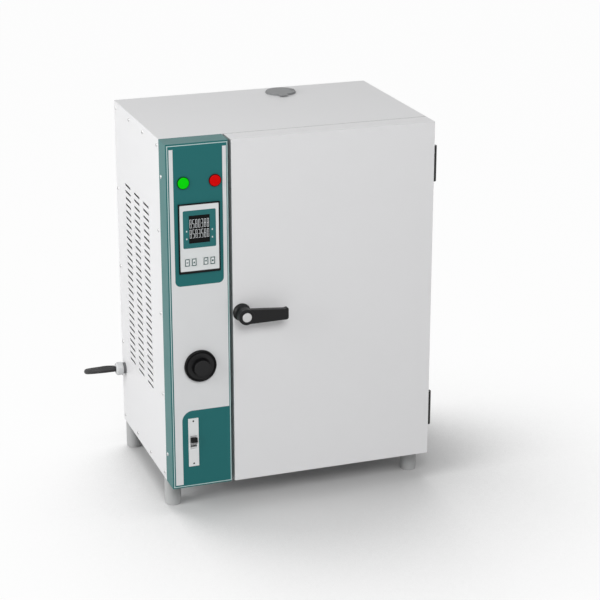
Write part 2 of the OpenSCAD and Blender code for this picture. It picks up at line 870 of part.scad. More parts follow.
// Circuit breaker: cover plate, body with a nose behind the plate's slot, toggle on its drum
module breaker_plate() {
    plate_screw_r = 1.6;
    color([0.9, 0.91, 0.91]) difference() {
        centred_block(brk_x, brk_z, plate_w, plate_h, plate_y, fascia_y);
        centred_block(brk_x, brk_z, toggle_w + 0.8, toggle_slot, plate_y - cut, fascia_y + cut);
        for (s = [-1, 1])
            rod_y([brk_x, plate_y - cut, brk_z + s * (plate_h / 2 - 5)], plate_screw_r, 1 + cut);
    }
}

module breaker_body() {
    color("silver") difference() {
        union() {
            centred_block(brk_x, brk_z, nose_w, nose_h, fascia_y, y_d + sheet + cut);
            centred_block(brk_x, brk_z, plate_w, plate_h - 8, y_d + sheet, y_d + breaker_deep);
        }
        rod_x([brk_x - toggle_w / 2 - toggle_play, toggle_y, brk_z], cavity_r, toggle_w + 2 * toggle_play);
    }
}

module breaker_toggle() {
    lever_half = 4.2;
    drum = toggle_axis - 0.4;
    out = 17;
    color(dark) translate([brk_x - toggle_w / 2, toggle_y, brk_z]) rotate([-toggle_turn / 2, 0, 0]) union() {
        rotate([0, 90, 0]) cylinder(r = drum, h = toggle_w);
        translate([0, -out, -lever_half]) cube([toggle_w, out, 2 * lever_half]);
    }
}

// Terminal block: on the partition, just behind the heater's front cold end
module terminal_block() {
    ways = 6;
    way_w = 11;
    deep = 22;
    h = 28;
    well_r = 2.6;
    well_l = 10;
    x1 = housing_x - sheet;
    y0 = heater_ys[0] + heater_d;
    z1 = heater_cz + h / 2;
    color("ivory") difference() {
        block([x1 - deep, y0, z1 - h], [x1, y0 + ways * way_w, z1]);
        for (i = [0 : ways - 1])
            rod_z([x1 - deep / 2, y0 + (i + 0.5) * way_w, z1 - well_l], well_r, well_l + cut);
    }
}

// Vent: base plate with a rivet near its edge, damper disc that swings aside on it, pipe
module vent_base() {
    head = 4;
    color("darkgray") union() {
        difference() {
            rod_z([vent_x, vent_y, z_t], vent_d / 2, vent_t);
            rod_z([vent_x, vent_y, z_t - cut], vent_bore / 2, vent_t + 2 * cut);
        }
        rod_z([pivot_x, vent_y, z_t], rivet_r, 2 * vent_t + 2 * vent_gap);
        rod_z([pivot_x, vent_y, z_t + 2 * vent_t + 2 * vent_gap], head, 1);
    }
}

module vent_damper() {
    z0 = z_t + vent_t + vent_gap;
    tab_w = 15;
    tab_out = 8;
    tab_x = vent_x - 4.5;
    color("gray") difference() {
        union() {
            rod_z([vent_x, vent_y, z0], vent_d / 2 - 1, vent_t);
            block([tab_x - tab_w / 2, vent_y - vent_d / 2 - tab_out, z0],
                [tab_x + tab_w / 2, vent_y - vent_d / 4, z0 + vent_t]);
        }
        rod_z([pivot_x, vent_y, z0 - cut], rivet_r + run, vent_t + 2 * cut);
    }
}

module vent_pipe() {
    color(stainless) difference() {
        rod_z([vent_x, vent_y, ch_z1 + liner], vent_bore / 2 + pipe_wall, z_t - ch_z1 - liner);
        rod_z([vent_x, vent_y, ch_z1 + liner - cut], vent_bore / 2, z_t - ch_z1 - liner + 2 * cut);
    }
}

module support_feet() {
    r = foot_d / 2;
    color([0.85, 0.85, 0.85]) for (x = [x_l + r, x_r - r], y = [y_f + r, y_b - r])
        rod_z([x, y, 0], r, foot_h);
}

// Hinges: a barrel in thirds; the middle third and its leaf belong to the door
module hinge_third(z, y_arm, y_leaf) {
    rod_z([ax, ay, z], barrel_r, knuckle_h);
    block([x_r, min(y_arm), z], [ax, max(y_arm), z + knuckle_h]);
}

module hinge_case_leaves() {
    color(dark) difference() {
        union() for (zc = hinge_zs) {
            z0 = zc - hinge_h / 2;
            for (z = [z0, z0 + 2 * (knuckle_h + knuckle_gap)])
                hinge_third(z, [y_f - 0.5, y_f + 3]);
            block([x_r, y_f + 0.5, z0], [x_r + leaf_t, y_f + leaf_w, z0 + hinge_h]);
        }
        for (zc = hinge_zs) rod_z([ax, ay, zc - hinge_h / 2 - cut], pin_r + run, hinge_h + 2 * cut);
    }
}

module hinge_pins() {
    stub = 2;
    color("silver") for (zc = hinge_zs)
        rod_z([ax, ay, zc - hinge_h / 2 - stub], pin_r, hinge_h + 2 * stub);
}

module hinge_door_leaves() {
    y_front = ay - barrel_r + 2;
    color(dark) difference() {
        union() for (zc = hinge_zs) {
            z0 = zc - knuckle_h / 2;
            hinge_third(z0, [y_front - 4, y_front]);
            block([x_r, y_front - leaf_w + 4, zc - hinge_h / 2],
                [x_r + leaf_t, y_front - 1, zc + hinge_h / 2]);
        }
        for (zc = hinge_zs) rod_z([ax, ay, zc - hinge_h / 2 - cut], pin_r + run, hinge_h + 2 * cut);
    }
}

// Door: outer shell open at the back, insulation, inner panel and gasket
module door_shell() {
    color(steel_white) difference() {
        block([door_x, y_d, z_b], [x_r, y_f - rim_gap, z_t]);
        block([door_x + sheet, y_d + sheet, z_b + sheet], [x_r - sheet, y_f, z_t - sheet]);
        rod_y([hx, y_d - cut, hz], spindle_r + 1, sheet + 2 * cut);
    }
}

module door_inner_panel() {
    e = sheet + fit;
    color(stainless) difference() {
        block([door_x + e, y_pan - sheet, z_b + e], [x_r - e, y_pan, z_t - e]);
        rod_y([hx, y_pan - sheet - cut, hz], spindle_r + run, sheet + 2 * cut);
    }
}

module door_insulation() {
    e = sheet + fit;
    color("khaki") difference() {
        block([door_x + e, y_d + e, z_b + e], [x_r - e, y_pan - e, z_t - e]);
        rod_y([hx, y_d, hz], spindle_r + 2, door_t);
    }
}

module door_gasket() {
    i = gasket_off;
    o = gasket_off + gasket_w;
    color([0.75, 0.3, 0.2]) difference() {
        block([ch_x0 - o, y_pan, ch_z0 - o], [ch_x1 + o, y_f - fit, ch_z1 + o]);
        block([ch_x0 - i, y_pan - cut, ch_z0 - i], [ch_x1 + i, y_f, ch_z1 + i]);
    }
}

module handle_rosette() {
    color(dark) translate([hx, y_d, hz]) rotate([90, 0, 0]) rotate_extrude()
        polygon([[spindle_r + run, 0], [rosette_r, 0], [rosette_r, 2], [rosette_r - 2.5, 4.5],
            [rosette_r - 4.5, 8], [rosette_r - 5, rosette_h], [spindle_r + run, rosette_h]]);
}

// Lever: round hub and a tapering arm with a small lip at its end
module handle_lever() {
    y0 = y_d - lever_back - lever_t;
    arm_t = lever_t - 3;
    root = hub_r - 0.8;
    low = -lever_drop - lever_end_h / 2;
    high = low + lever_end_h;
    tip = lever_l;
    lip = 1.6;
    color(dark) difference() {
        union() {
            rod_y([hx, y0, hz], hub_r, lever_t);
            translate([hx, y0 + arm_t, hz]) rotate([90, 0, 0]) linear_extrude(arm_t)
                polygon([[0, -root], [tip - 4, low], [tip, low + 3], [tip, high + lip - 2],
                    [tip - 2, high + lip], [tip - 7, high], [0, root]]);
        }
        rod_y([hx, y0 - cut, hz], cap_r + 0.1, 3 + cut);
        rod_y([hx, y0 + 6, hz], spindle_r + run, lever_t);
    }
}

module lever_cap() {
    color("silver") rod_y([hx, y_d - handle_reach, hz], cap_r, 3 + cap_out);
}

module latch_spindle() {
    y0 = y_d - lever_back - lever_t + 6;
    cam_y = y_pan + 1;
    color("silver") union() {
        rod_y([hx, y0, hz], spindle_r, cam_y + cam_t - y0);
        rod_y([hx, cam_y, hz], spindle_r + 3, cam_t);
        block([hx - cam_reach, cam_y, hz - 5], [hx, cam_y + cam_t, hz + 5]);
    }
}

module latch_strike() {
    color(stainless) block([hx - cam_reach - 1, y_f - strike_t, hz - strike_h / 2],
        [hx + cam_reach, y_f, hz + strike_h / 2]);
}

// Cable gland: thread through the panel, locknut inside, collar and round nut outside
module cable_gland() {
    collar_l = 5.5;
    collar_r = gland_r * 0.84;
    locknut_l = 5;
    thread_in = 12;
    thread_r = gland_r * 0.7;
    nut_l = gland_out - collar_l;
    color("lightgray") union() {
        rod_x([x_l - collar_l, gland_y, gland_cz], thread_r, collar_l + sheet + thread_in);
        rod_x([x_l - collar_l, gland_y, gland_cz], collar_r, collar_l);
        translate([x_l + sheet, gland_y, gland_cz]) rotate([0, 90, 0])
            cylinder(r = gland_hex_r, h = locknut_l, $fn = 6);
        translate([x_l - collar_l, gland_y, gland_cz]) rotate([0, -90, 0]) rotate_extrude()
            polygon([[0, 0], [gland_r - 1, 0], [gland_r, 1], [gland_r, nut_l - 3],
                [gland_r - 2.5, nut_l], [0, nut_l]]);
    }
}

// Sweep of a round section along points: rings square to the path, joined side by side
sides = 10;

function unit(v) = v / norm(v);
function along(pts, i) = unit(pts[min(i + 1, len(pts) - 1)] - pts[max(i - 1, 0)]);
function level(t) = unit(cross(t, [0, 0, 1]));
function ring(pts, i, r) = let (t = along(pts, i), u = level(t), v = cross(u, t))
    [for (k = [0 : sides - 1]) pts[i] + r * (cos(360 * k / sides) * u + sin(360 * k / sides) * v)];

module sweep(pts, r) {
    n = len(pts);
    points = [for (i = [0 : n - 1]) each ring(pts, i, r)];
    walls = [for (i = [0 : n - 2], k = [0 : sides - 1])
        let (a = i * sides, b = a + sides, m = (k + 1) % sides) [a + k, a + m, b + m, b + k]];
    start = [[for (k = [sides - 1 : -1 : 0]) k]];
    end = [[for (k = [0 : sides - 1]) (n - 1) * sides + k]];
    polyhedron(points, concat(start, walls, end));
}

module cord_run() {
    color(dark) sweep(route, cord_d / 2);
}

// Coil: two turns side by side in each layer, as one ring with rounded edges
module cord_coil() {
    soft = 3;
    h = coil_layers * cord_d;
    color(dark) translate([coil_x, coil_y, 0]) rotate_extrude()
        polygon([[coil_r - cord_d + soft, 0], [coil_r + cord_d - soft, 0], [coil_r + cord_d, soft],
            [coil_r + cord_d, h - soft], [coil_r + cord_d - soft, h], [coil_r - cord_d + soft, h],
            [coil_r - cord_d, h - soft], [coil_r - cord_d, soft]]);
}

module cord_tail() {
    color(dark) rod_x([tail_x0, lead_y, tail_z], cord_d / 2, tail_x1 - tail_x0);
}

// Plug: strain relief, body that lies on the floor, three round pins
module mains_plug() {
    body_x = tail_x1 + relief_l;
    pin_x = body_x + plug_l;
    color(dark) union() {
        translate([tail_x1, lead_y, tail_z]) rotate([0, 90, 0])
            cylinder(r1 = cord_d / 2 + 1, r2 = cord_d / 2 + 4, h = relief_l);
        block([body_x, lead_y - plug_w / 2 + 3, 0], [pin_x, lead_y + plug_w / 2 - 3, 2 * tail_z]);
        block([body_x + 4, lead_y - plug_w / 2, 3], [pin_x, lead_y + plug_w / 2, 2 * tail_z - 3]);
        for (p = [[0, 6, 3.5], [-9.5, -4, 2.5], [9.5, -4, 2.5]])
            rod_x([pin_x, lead_y + p[0], tail_z + p[1]], p[2], plug_pin_l);
    }
}

left_side_panel();
right_side_panel();
top_panel();
back_panel();
base_panel();
corner_posts();
front_frame();
partition_panel();
chamber_floor();
chamber_roof();
chamber_left_wall();
chamber_right_wall();
chamber_back_wall();
insulation_slabs();
shelf_rails();
upper_shelf();
lower_shelf();
heater_element();
heater_brackets();
temperature_probe();
control_housing();
control_fascia();
heater_lamp();
power_lamp();
controller_case();
controller_face();
display_window();
thermostat_body();
breaker_plate();
breaker_body();
terminal_block();
vent_base();
vent_pipe();
support_feet();
case_screws();
hinge_case_leaves();
hinge_pins();
latch_strike();
cable_gland();
cord_run();
cord_coil();
cord_tail();
mains_plug();
door_shell();
door_inner_panel();
door_insulation();
door_gasket();
handle_rosette();
hinge_door_leaves();
handle_lever();
lever_cap();
latch_spindle();
thermostat_knob();
breaker_toggle();
vent_damper();
key_1();
key_2();
key_3();
key_4();
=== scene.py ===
"""Looks for a laboratory heating oven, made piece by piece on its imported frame.

Every length is in metres of the row frame: X to the oven's right, Y to its back, Z up.
"""

import logging
import math
from dataclasses import dataclass, replace
from enum import Enum
from functools import cache
from typing import Iterable, Sequence

import bmesh
import bpy
from mathutils import Matrix, Vector


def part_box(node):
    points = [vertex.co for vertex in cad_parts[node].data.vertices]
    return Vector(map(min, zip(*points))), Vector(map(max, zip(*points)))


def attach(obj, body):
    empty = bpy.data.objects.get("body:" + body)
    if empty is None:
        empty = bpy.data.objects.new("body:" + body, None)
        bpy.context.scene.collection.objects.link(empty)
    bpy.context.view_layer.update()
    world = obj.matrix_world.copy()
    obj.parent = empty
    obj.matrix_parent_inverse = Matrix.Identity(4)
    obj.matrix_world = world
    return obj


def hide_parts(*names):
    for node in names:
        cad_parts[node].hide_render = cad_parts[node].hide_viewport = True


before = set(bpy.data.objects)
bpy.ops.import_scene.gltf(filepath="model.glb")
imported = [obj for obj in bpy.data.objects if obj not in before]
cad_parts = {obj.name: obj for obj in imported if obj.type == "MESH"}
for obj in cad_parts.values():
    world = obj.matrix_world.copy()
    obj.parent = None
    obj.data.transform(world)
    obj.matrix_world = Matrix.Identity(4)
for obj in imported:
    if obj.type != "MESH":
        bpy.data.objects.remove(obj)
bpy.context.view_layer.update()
log = logging.getLogger("heating_oven")

Point = Sequence[float]
MM = 0.001
SMOOTH_TURN = math.radians(38)
CAD_EDGE_TURN = 50.0
CAD_FLAT_TURN = math.radians(1)
CAD_MERGE = 2e-6


class Axis(Enum):
    """The direction that a turned shape grows in."""

    LEFT = (-1.0, 0.0, 0.0)
    RIGHT = (1.0, 0.0, 0.0)
    FRONT = (0.0, -1.0, 0.0)
    BACK = (0.0, 1.0, 0.0)
    UP = (0.0, 0.0, 1.0)


class Pattern(Enum):
    """The fine pattern that a finish shows."""

    PEBBLE = "pebble"
    BRUSHED_X = "brushed along X"
    BRUSHED_Z = "brushed along Z"
    SPANGLE = "spangle"
    FIBRE = "fibre"


def shade(red: float, green: float, blue: float) -> tuple[float, float, float, float]:
    """Turns a colour as a screen shows it, 0 to 255, into the renderer's linear colour."""

    def linear(value: float) -> float:
        """One channel, by the screen's transfer curve."""
        part = value / 255
        return part / 12.92 if part <= 0.04045 else ((part + 0.055) / 1.055) ** 2.4

    return linear(red), linear(green), linear(blue), 1.0


class NodeBook:
    """Adds and links the nodes of one tree.

    Attributes:
        tree: The node tree that is written to.
    """

    def __init__(self, tree: bpy.types.NodeTree) -> None:
        """Keeps the tree."""
        self.tree = tree

    def add(self, kind: str, settings: dict | None = None, **values: object) -> bpy.types.Node:
        """Adds a node.

        Args:
            kind: The node's type name without the words ShaderNode.
            settings: Its own settings, such as a blend type.
            values: Socket values, or sockets to link, under the socket's name with _ for a space.

        Returns:
            The new node.
        """
        node = self.tree.nodes.new(kind if kind.startswith("Node") else "ShaderNode" + kind)
        for name, value in (settings or {}).items():
            setattr(node, name, value)
        for name, value in values.items():
            self.feed(node, name.replace("_", " "), value)
        return node

    def feed(self, node: bpy.types.Node, name: str | int, value: object) -> None:
        """Sets a socket to a plain value, or links another node's socket to it."""
        socket = node.inputs[name]
        if isinstance(value, bpy.types.NodeSocket):
            self.tree.links.new(value, socket)
        else:
            socket.default_value = value

    def blend(self, mask: object, first: object, second: object,
              kind: str = "MIX") -> bpy.types.NodeSocket:
        """Mixes two colours by a mask.

        Args:
            mask: The share of the second colour, a number or a socket.
            first: The first colour.
            second: The second colour.
            kind: The blend type.

        Returns:
            The mixed colour's socket.
        """
        node = self.add("Mix", {"data_type": "RGBA", "blend_type": kind})
        self.feed(node, 0, mask)
        self.feed(node, 6, first)
        self.feed(node, 7, second)
        return node.outputs[2]

    def shader_mix(self, share: bpy.types.NodeSocket, first: bpy.types.Node,
                   second: bpy.types.Node) -> bpy.types.NodeSocket:
        """Mixes two shaders by the share of the second."""
        mix = self.add("MixShader", Fac=share)
        self.feed(mix, 1, first.outputs[0])
        self.feed(mix, 2, second.outputs[0])
        return mix.outputs[0]

    def span(self, value: bpy.types.NodeSocket, low: float, high: float) -> bpy.types.NodeSocket:
        """Maps a 0 to 1 value to the range from low to high."""
        return self.add("MapRange", Value=value, To_Min=low, To_Max=high).outputs["Result"]

    def maths(self, kind: str, first: object, second: object = 0.0) -> bpy.types.NodeSocket:
        """One step of arithmetic on two values."""
        node = self.add("Math", {"operation": kind})
        self.feed(node, 0, first)
        self.feed(node, 1, second)
        return node.outputs[0]


class PatternGroups:
    """The shader node groups that several finishes share, each built once.

    Attributes:
        broad_scale: Scale of the slow change of tone over a sheet.
        smudge_scale: Scale of the smudges on paint and plastic.
    """

    broad_scale = 7.0
    smudge_scale = 28.0

    def __init__(self) -> None:
        """Starts with no group built."""
        self.built: dict[Pattern, bpy.types.NodeTree] = {}

    def group(self, pattern: Pattern) -> bpy.types.NodeTree:
        """Gives the pattern's group, and builds it the first time."""
        if pattern not in self.built:
            self.built[pattern] = self.build(pattern)
        return self.built[pattern]

    def build(self, pattern: Pattern) -> bpy.types.NodeTree:
        """Builds a group.

        Args:
            pattern: The pattern that the group draws.

        Returns:
            A group with a Scale input, and with Tone, Gloss and Height outputs from 0 to 1.
        """
        tree = bpy.data.node_groups.new(pattern.name.lower(), "ShaderNodeTree")
        scale = tree.interface.new_socket("Scale", in_out="INPUT", socket_type="NodeSocketFloat")
        scale.default_value = 1.0
        for name in ("Tone", "Gloss", "Height"):
            tree.interface.new_socket(name, in_out="OUTPUT", socket_type="NodeSocketFloat")
        book = NodeBook(tree)
        entry, leave = book.add("NodeGroupInput"), book.add("NodeGroupOutput")
        place = book.add("TexCoord").outputs["Object"]
        size = entry.outputs["Scale"]
        broad = book.add("TexNoise", Vector=place, Scale=self.broad_scale, Detail=3.0,
                         Roughness=0.55).outputs[0]
        if pattern is Pattern.SPANGLE:
            cells = book.add("TexVoronoi", Vector=place, Scale=size, Randomness=1.0)
            tone = book.maths("FRACT", book.maths("MULTIPLY", book.add(
                "SeparateColor", Color=cells.outputs["Color"]).outputs[0], 3.0))
            gloss = tone
            height = cells.outputs["Distance"]
        elif pattern in (Pattern.BRUSHED_X, Pattern.BRUSHED_Z):
            stretch = (0.02, 1.0, 1.0) if pattern is Pattern.BRUSHED_X else (1.0, 1.0, 0.02)
            drawn = book.add("Mapping", Vector=place, Scale=stretch).outputs[0]
            height = book.add("TexNoise", Vector=drawn, Scale=size, Detail=2.0,
                              Roughness=0.6).outputs[0]
            gloss = height
            tone = book.maths("ADD", book.maths("MULTIPLY", height, 0.5),
                              book.maths("MULTIPLY", broad, 0.5))
        elif pattern is Pattern.FIBRE:
            bent = book.add("Mapping", Vector=place, Scale=(0.25, 1.0, 1.0)).outputs[0]
            strands = book.add("TexNoise", Vector=bent, Scale=size, Detail=5.0, Roughness=0.7,
                               Distortion=1.5).outputs[0]
            tone = gloss = height = strands
        else:
            height = book.add("TexNoise", Vector=place, Scale=size, Detail=2.0,
                              Roughness=0.5).outputs[0]
            smudge = book.add("TexNoise", Vector=place, Scale=self.smudge_scale, Detail=4.0,
                              Roughness=0.6).outputs[0]
            gloss = smudge
            tone = book.maths("ADD", book.maths("MULTIPLY", smudge, 0.35),
                              book.maths("MULTIPLY", broad, 0.65))
        for name, value in zip(("Tone", "Gloss", "Height"), (tone, gloss, height)):
            book.feed(leave, name, value)
        return tree


PATTERNS = PatternGroups()


@dataclass(frozen=True)
class Finish:
    """One finish of the oven.

    Attributes:
        name: The material's name.
        colour: Its colour as a screen shows it, 0 to 255.
        roughness: The middle of its roughness.
        metallic: 1 for bare metal.
        pattern: The fine pattern on it.
        scale: The pattern's scale, in features to the metre.
        relief: Strength of the pattern's bump.
        depth: Height of the pattern's bump in metres.
        tone: How far the colour strays from its middle, as a share.
        gloss: How far the roughness strays from its middle.
        shine: Level of its mirror-like reflection, 0.5 for common plastic.
        glow: Strength of light from within, for a lens.
    """

    name: str
    colour: tuple[float, float, float]
    roughness: float
    metallic: float = 0.0
    pattern: Pattern = Pattern.PEBBLE
    scale: float = 900.0
    relief: float = 0.1
    depth: float = 0.0002
    tone: float = 0.03
    gloss: float = 0.05
    shine: float = 0.5
    glow: float = 0.0

    @cache
    def material(self) -> bpy.types.Material:
        """Builds the finish's material the first time, and gives the same one after that.

        Returns:
            A node-based material with the pattern in its colour, roughness and bump.
        """
        material = bpy.data.materials.new(self.name + "_finish")
        material.use_nodes = True
        material.node_tree.nodes.clear()
        book = NodeBook(material.node_tree)
        pattern = book.add("Group", {"node_tree": PATTERNS.group(self.pattern)}, Scale=self.scale)
        middle = shade(*self.colour)
        dark = tuple(c * (1 - self.tone) for c in middle[:3]) + (1.0,)
        light = tuple(min(1.0, c * (1 + self.tone)) for c in middle[:3]) + (1.0,)
        colour = book.blend(pattern.outputs["Tone"], dark, light)
        roughness = book.span(pattern.outputs["Gloss"], max(0.02, self.roughness - self.gloss),
                              min(1.0, self.roughness + self.gloss))
        bump = book.add("Bump", Strength=self.relief, Distance=self.depth,
                        Height=pattern.outputs["Height"])
        shader = book.add("BsdfPrincipled", Base_Color=colour, Roughness=roughness,
                          Metallic=self.metallic, Normal=bump.outputs[0])
        shader.inputs["Specular IOR Level"].default_value = self.shine
        if self.glow:
            shader.inputs["Emission Color"].default_value = middle
            shader.inputs["Emission Strength"].default_value = self.glow
        book.add("OutputMaterial", Surface=shader.outputs[0])
        return material


CASE_PAINT = Finish("case_paint", (221, 221, 222), 0.4, scale=1500, relief=0.12, tone=0.012,
                    shine=0.35)
TEAL_PAINT = Finish("teal_paint", (38, 103, 102), 0.4, scale=1500, relief=0.12, tone=0.03,
                    shine=0.3)
PRINT_TEAL = Finish("print_teal", (28, 76, 74), 0.45, scale=2600, relief=0.05, tone=0.03,
                    shine=0.2)
GALVANISED = Finish("galvanised", (140, 143, 145), 0.42, 1.0, Pattern.SPANGLE, 140, 0.05,
                    tone=0.12, gloss=0.1)
STAINLESS = Finish("stainless", (188, 190, 191), 0.3, 1.0, Pattern.BRUSHED_X, 1600, 0.12,
                   tone=0.05, gloss=0.08)
STAINLESS_UPRIGHT = Finish("stainless_upright", (188, 190, 191), 0.3, 1.0, Pattern.BRUSHED_Z,
                           1600, 0.12, tone=0.05, gloss=0.08)
PLATED = Finish("plated_steel", (200, 200, 200), 0.34, 0.85, Pattern.PEBBLE, 1200, 0.06,
                tone=0.05, gloss=0.1)
SHEATH = Finish("heater_sheath", (92, 84, 78), 0.48, 0.9, Pattern.PEBBLE, 500, 0.15, tone=0.18,
                gloss=0.12)
GLASS_WOOL = Finish("glass_wool", (214, 200, 140), 0.95, pattern=Pattern.FIBRE, scale=320,
                    relief=0.8, depth=0.002, tone=0.22)
BLACK_PLASTIC = Finish("black_plastic", (6, 6, 7), 0.4, scale=1800, relief=0.14, tone=0.08,
                       shine=0.12)
CHARCOAL = Finish("charcoal_plastic", (20, 20, 21), 0.5, scale=2200, relief=0.2, tone=0.08,
                  shine=0.25)
BLACK_METAL = Finish("black_metal", (16, 16, 17), 0.36, scale=1300, relief=0.14, tone=0.1,
                     shine=0.25)
WHITE_PLASTIC = Finish("white_plastic", (218, 220, 220), 0.4, scale=1600, relief=0.06,
                       tone=0.015, shine=0.35)
DRUM_GREY = Finish("drum_grey", (176, 176, 177), 0.5, scale=1600, relief=0.1, tone=0.03,
                   shine=0.3)
GREY_PLASTIC = Finish("grey_plastic", (200, 201, 202), 0.45, scale=1600, relief=0.1, tone=0.03,
                      shine=0.35)
DARK_GREY = Finish("dark_grey_rubber", (104, 105, 106), 0.6, scale=1400, relief=0.15, tone=0.05,
                   shine=0.3)
GREEN_LENS = Finish("green_lens", (0, 184, 2), 0.3, scale=1800, relief=0.05, tone=0.05,
                    shine=0.08, glow=0.3)
RED_LENS = Finish("red_lens", (182, 0, 0), 0.3, scale=1800, relief=0.05, tone=0.05, shine=0.08,
                  glow=0.3)
DISPLAY = Finish("display_glass", (4, 5, 5), 0.25, scale=900, relief=0.02, tone=0.1, shine=0.12)
DIGIT = Finish("display_digit", (196, 199, 201), 0.5, scale=2600, relief=0.02, tone=0.05,
               shine=0.2, glow=0.3)
VENT_METAL = Finish("vent_metal", (134, 135, 136), 0.55, 0.2, scale=900, relief=0.08, tone=0.05,
                    shine=0.3)
FOOT_PAINT = Finish("foot_paint", (172, 173, 173), 0.5, scale=1300, relief=0.1, tone=0.02,
                    shine=0.3)
GASKET = Finish("gasket_rubber", (172, 74, 52), 0.7, scale=1100, relief=0.2, tone=0.08)
CORD_RUBBER = Finish("cord_rubber", (44, 44, 45), 0.55, scale=1500, relief=0.2, tone=0.06,
                     shine=0.3)
BRASS = Finish("brass", (196, 160, 92), 0.3, 1.0, Pattern.PEBBLE, 900, 0.05, tone=0.06)


class Form:
    """A mesh under construction, made of one shape after another.

    Attributes:
        bm: The mesh so far.
        finishes: The finishes of its faces, in the order of their first use.
        finish: The finish that the next shape gets.
    """

    def __init__(self, finish: Finish) -> None:
        """Starts empty, with a first finish."""
        self.bm = bmesh.new()
        self.finishes: list[Finish] = []
        self.finish = finish

    def dressed(self, finish: Finish) -> "Form":
        """Changes the finish of the shapes that follow, and returns the form."""
        self.finish = finish
        return self

    def take(self, part: bmesh.types.BMesh) -> "Form":
        """Adds a finished shape, and frees its own mesh.

        Args:
            part: The shape.

        Returns:
            The form itself.
        """
        if self.finish not in self.finishes:
            self.finishes.append(self.finish)
        for face in part.faces:
            face.material_index = self.finishes.index(self.finish)
        mesh = bpy.data.meshes.new("shape")
        part.to_mesh(mesh)
        part.free()
        self.bm.from_mesh(mesh)
        bpy.data.meshes.remove(mesh)
        return self

    @staticmethod
    def soften(part: bmesh.types.BMesh, width: float, segments: int = 2,
               angle: float = 40.0) -> None:
        """Bevels the edges that turn by more than an angle.

        Args:
            part: The shape.
            width: Width of the bevel.
            segments: Its number of faces.
            angle: The least turn of an edge that is bevelled, in degrees.
        """
        if width <= 0:
            return
        sharp = [e for e in part.edges
                 if len(e.link_faces) == 2 and e.calc_face_angle(0.0) > math.radians(angle)]
        bmesh.ops.bevel(part, geom=sharp, offset=width, offset_type="OFFSET", segments=segments,
                        profile=0.5, affect="EDGES", clamp_overlap=True, material=-1)

    def box(self, low: Point, high: Point, soft: float = 0.0, corner: float = 0.0,
            along: int = 1, segments: int = 2) -> "Form":
        """Adds a box.

        Args:
            low: Its lowest corner.
            high: Its highest corner.
            soft: Bevel of its edges.
            corner: Radius of the four edges along one axis.
            along: That axis, 0 to 2.
            segments: Faces across the bevel.

        Returns:
            The form itself.
        """
        part = bmesh.new()
        bmesh.ops.create_cube(part, size=1.0)
        low, high = Vector(low), Vector(high)
        bmesh.ops.scale(part, vec=high - low, verts=part.verts)
        bmesh.ops.translate(part, vec=(low + high) / 2, verts=part.verts)
        if corner:
            edges = [e for e in part.edges
                     if abs((e.verts[0].co - e.verts[1].co)[along]) > (high - low)[along] / 2]
            bmesh.ops.bevel(part, geom=edges, offset=corner, offset_type="OFFSET", segments=8,
                            profile=0.5, affect="EDGES", clamp_overlap=True, material=-1)
        self.soften(part, soft, segments)
        return self.take(part)

    def turned(self, base: Point, axis: Axis, profile: Iterable[tuple[float, float]],
               steps: int = 48, soft: float = 0.0) -> "Form":
        """Adds a shape turned on a lathe.

        Args:
            base: The point of its axis at height 0.
            axis: The direction that its heights grow in.
            profile: Radius and height of each point of its outline.
            steps: Number of faces round it.
            soft: Bevel of its edges.

        Returns:
            The form itself.
        """
        part = bmesh.new()
        verts = [part.verts.new((radius, 0.0, height)) for radius, height in profile]
        edges = [part.edges.new(pair) for pair in zip(verts, verts[1:])]
        bmesh.ops.spin(part, geom=verts + edges, cent=(0, 0, 0), axis=(0, 0, 1),
                       angle=math.tau, steps=steps, use_merge=True)
        bmesh.ops.remove_doubles(part, verts=part.verts, dist=1e-7)
        bmesh.ops.recalc_face_normals(part, faces=part.faces)
        self.soften(part, soft)
        turn = Vector((0, 0, 1)).rotation_difference(Vector(axis.value)).to_matrix().to_4x4()
        bmesh.ops.transform(part, matrix=Matrix.Translation(Vector(base)) @ turn, verts=part.verts)
        return self.take(part)

    def rod(self, start: Point, axis: Axis, radius: float, length: float, soft: float = 0.0,
            steps: int = 32) -> "Form":
        """Adds a closed rod along an axis."""
        return self.turned(start, axis, [(0, 0), (radius, 0), (radius, length), (0, length)],
                           steps, soft)

    def plate(self, outline: Sequence[tuple[float, float]], y: float, thick: float,
              soft: float = 0.0) -> "Form":
        """Adds an upright plate that faces the front.

        Args:
            outline: X and Z of its corners, in order.
            y: Place of its back.
            thick: How far it stands forward of that.
            soft: Bevel of its edges.

        Returns:
            The form itself.
        """
        part = bmesh.new()
        face = part.faces.new([part.verts.new((x, y, z)) for x, z in outline])
        moved = bmesh.ops.extrude_face_region(part, geom=[face])["geom"]
        bmesh.ops.translate(part, vec=(0, -thick, 0),
                            verts=[g for g in moved if isinstance(g, bmesh.types.BMVert)])
        bmesh.ops.recalc_face_normals(part, faces=part.faces)
        self.soften(part, soft)
        return self.take(part)

    def copied(self, node: str, soft: float = 0.0, segments: int = 2) -> "Form":
        """Adds a merged copy of a CAD node with its edges eased.

        Args:
            node: The node's name.
            soft: Bevel of its edges.
            segments: Faces across the bevel.

        Returns:
            The form itself.
        """
        part = bmesh.new()
        part.from_mesh(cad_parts[node].data)
        bmesh.ops.remove_doubles(part, verts=part.verts, dist=CAD_MERGE)
        bmesh.ops.dissolve_limit(part, angle_limit=CAD_FLAT_TURN, verts=part.verts,
                                 edges=part.edges)
        self.soften(part, soft, segments, CAD_EDGE_TURN)
        return self.take(part)

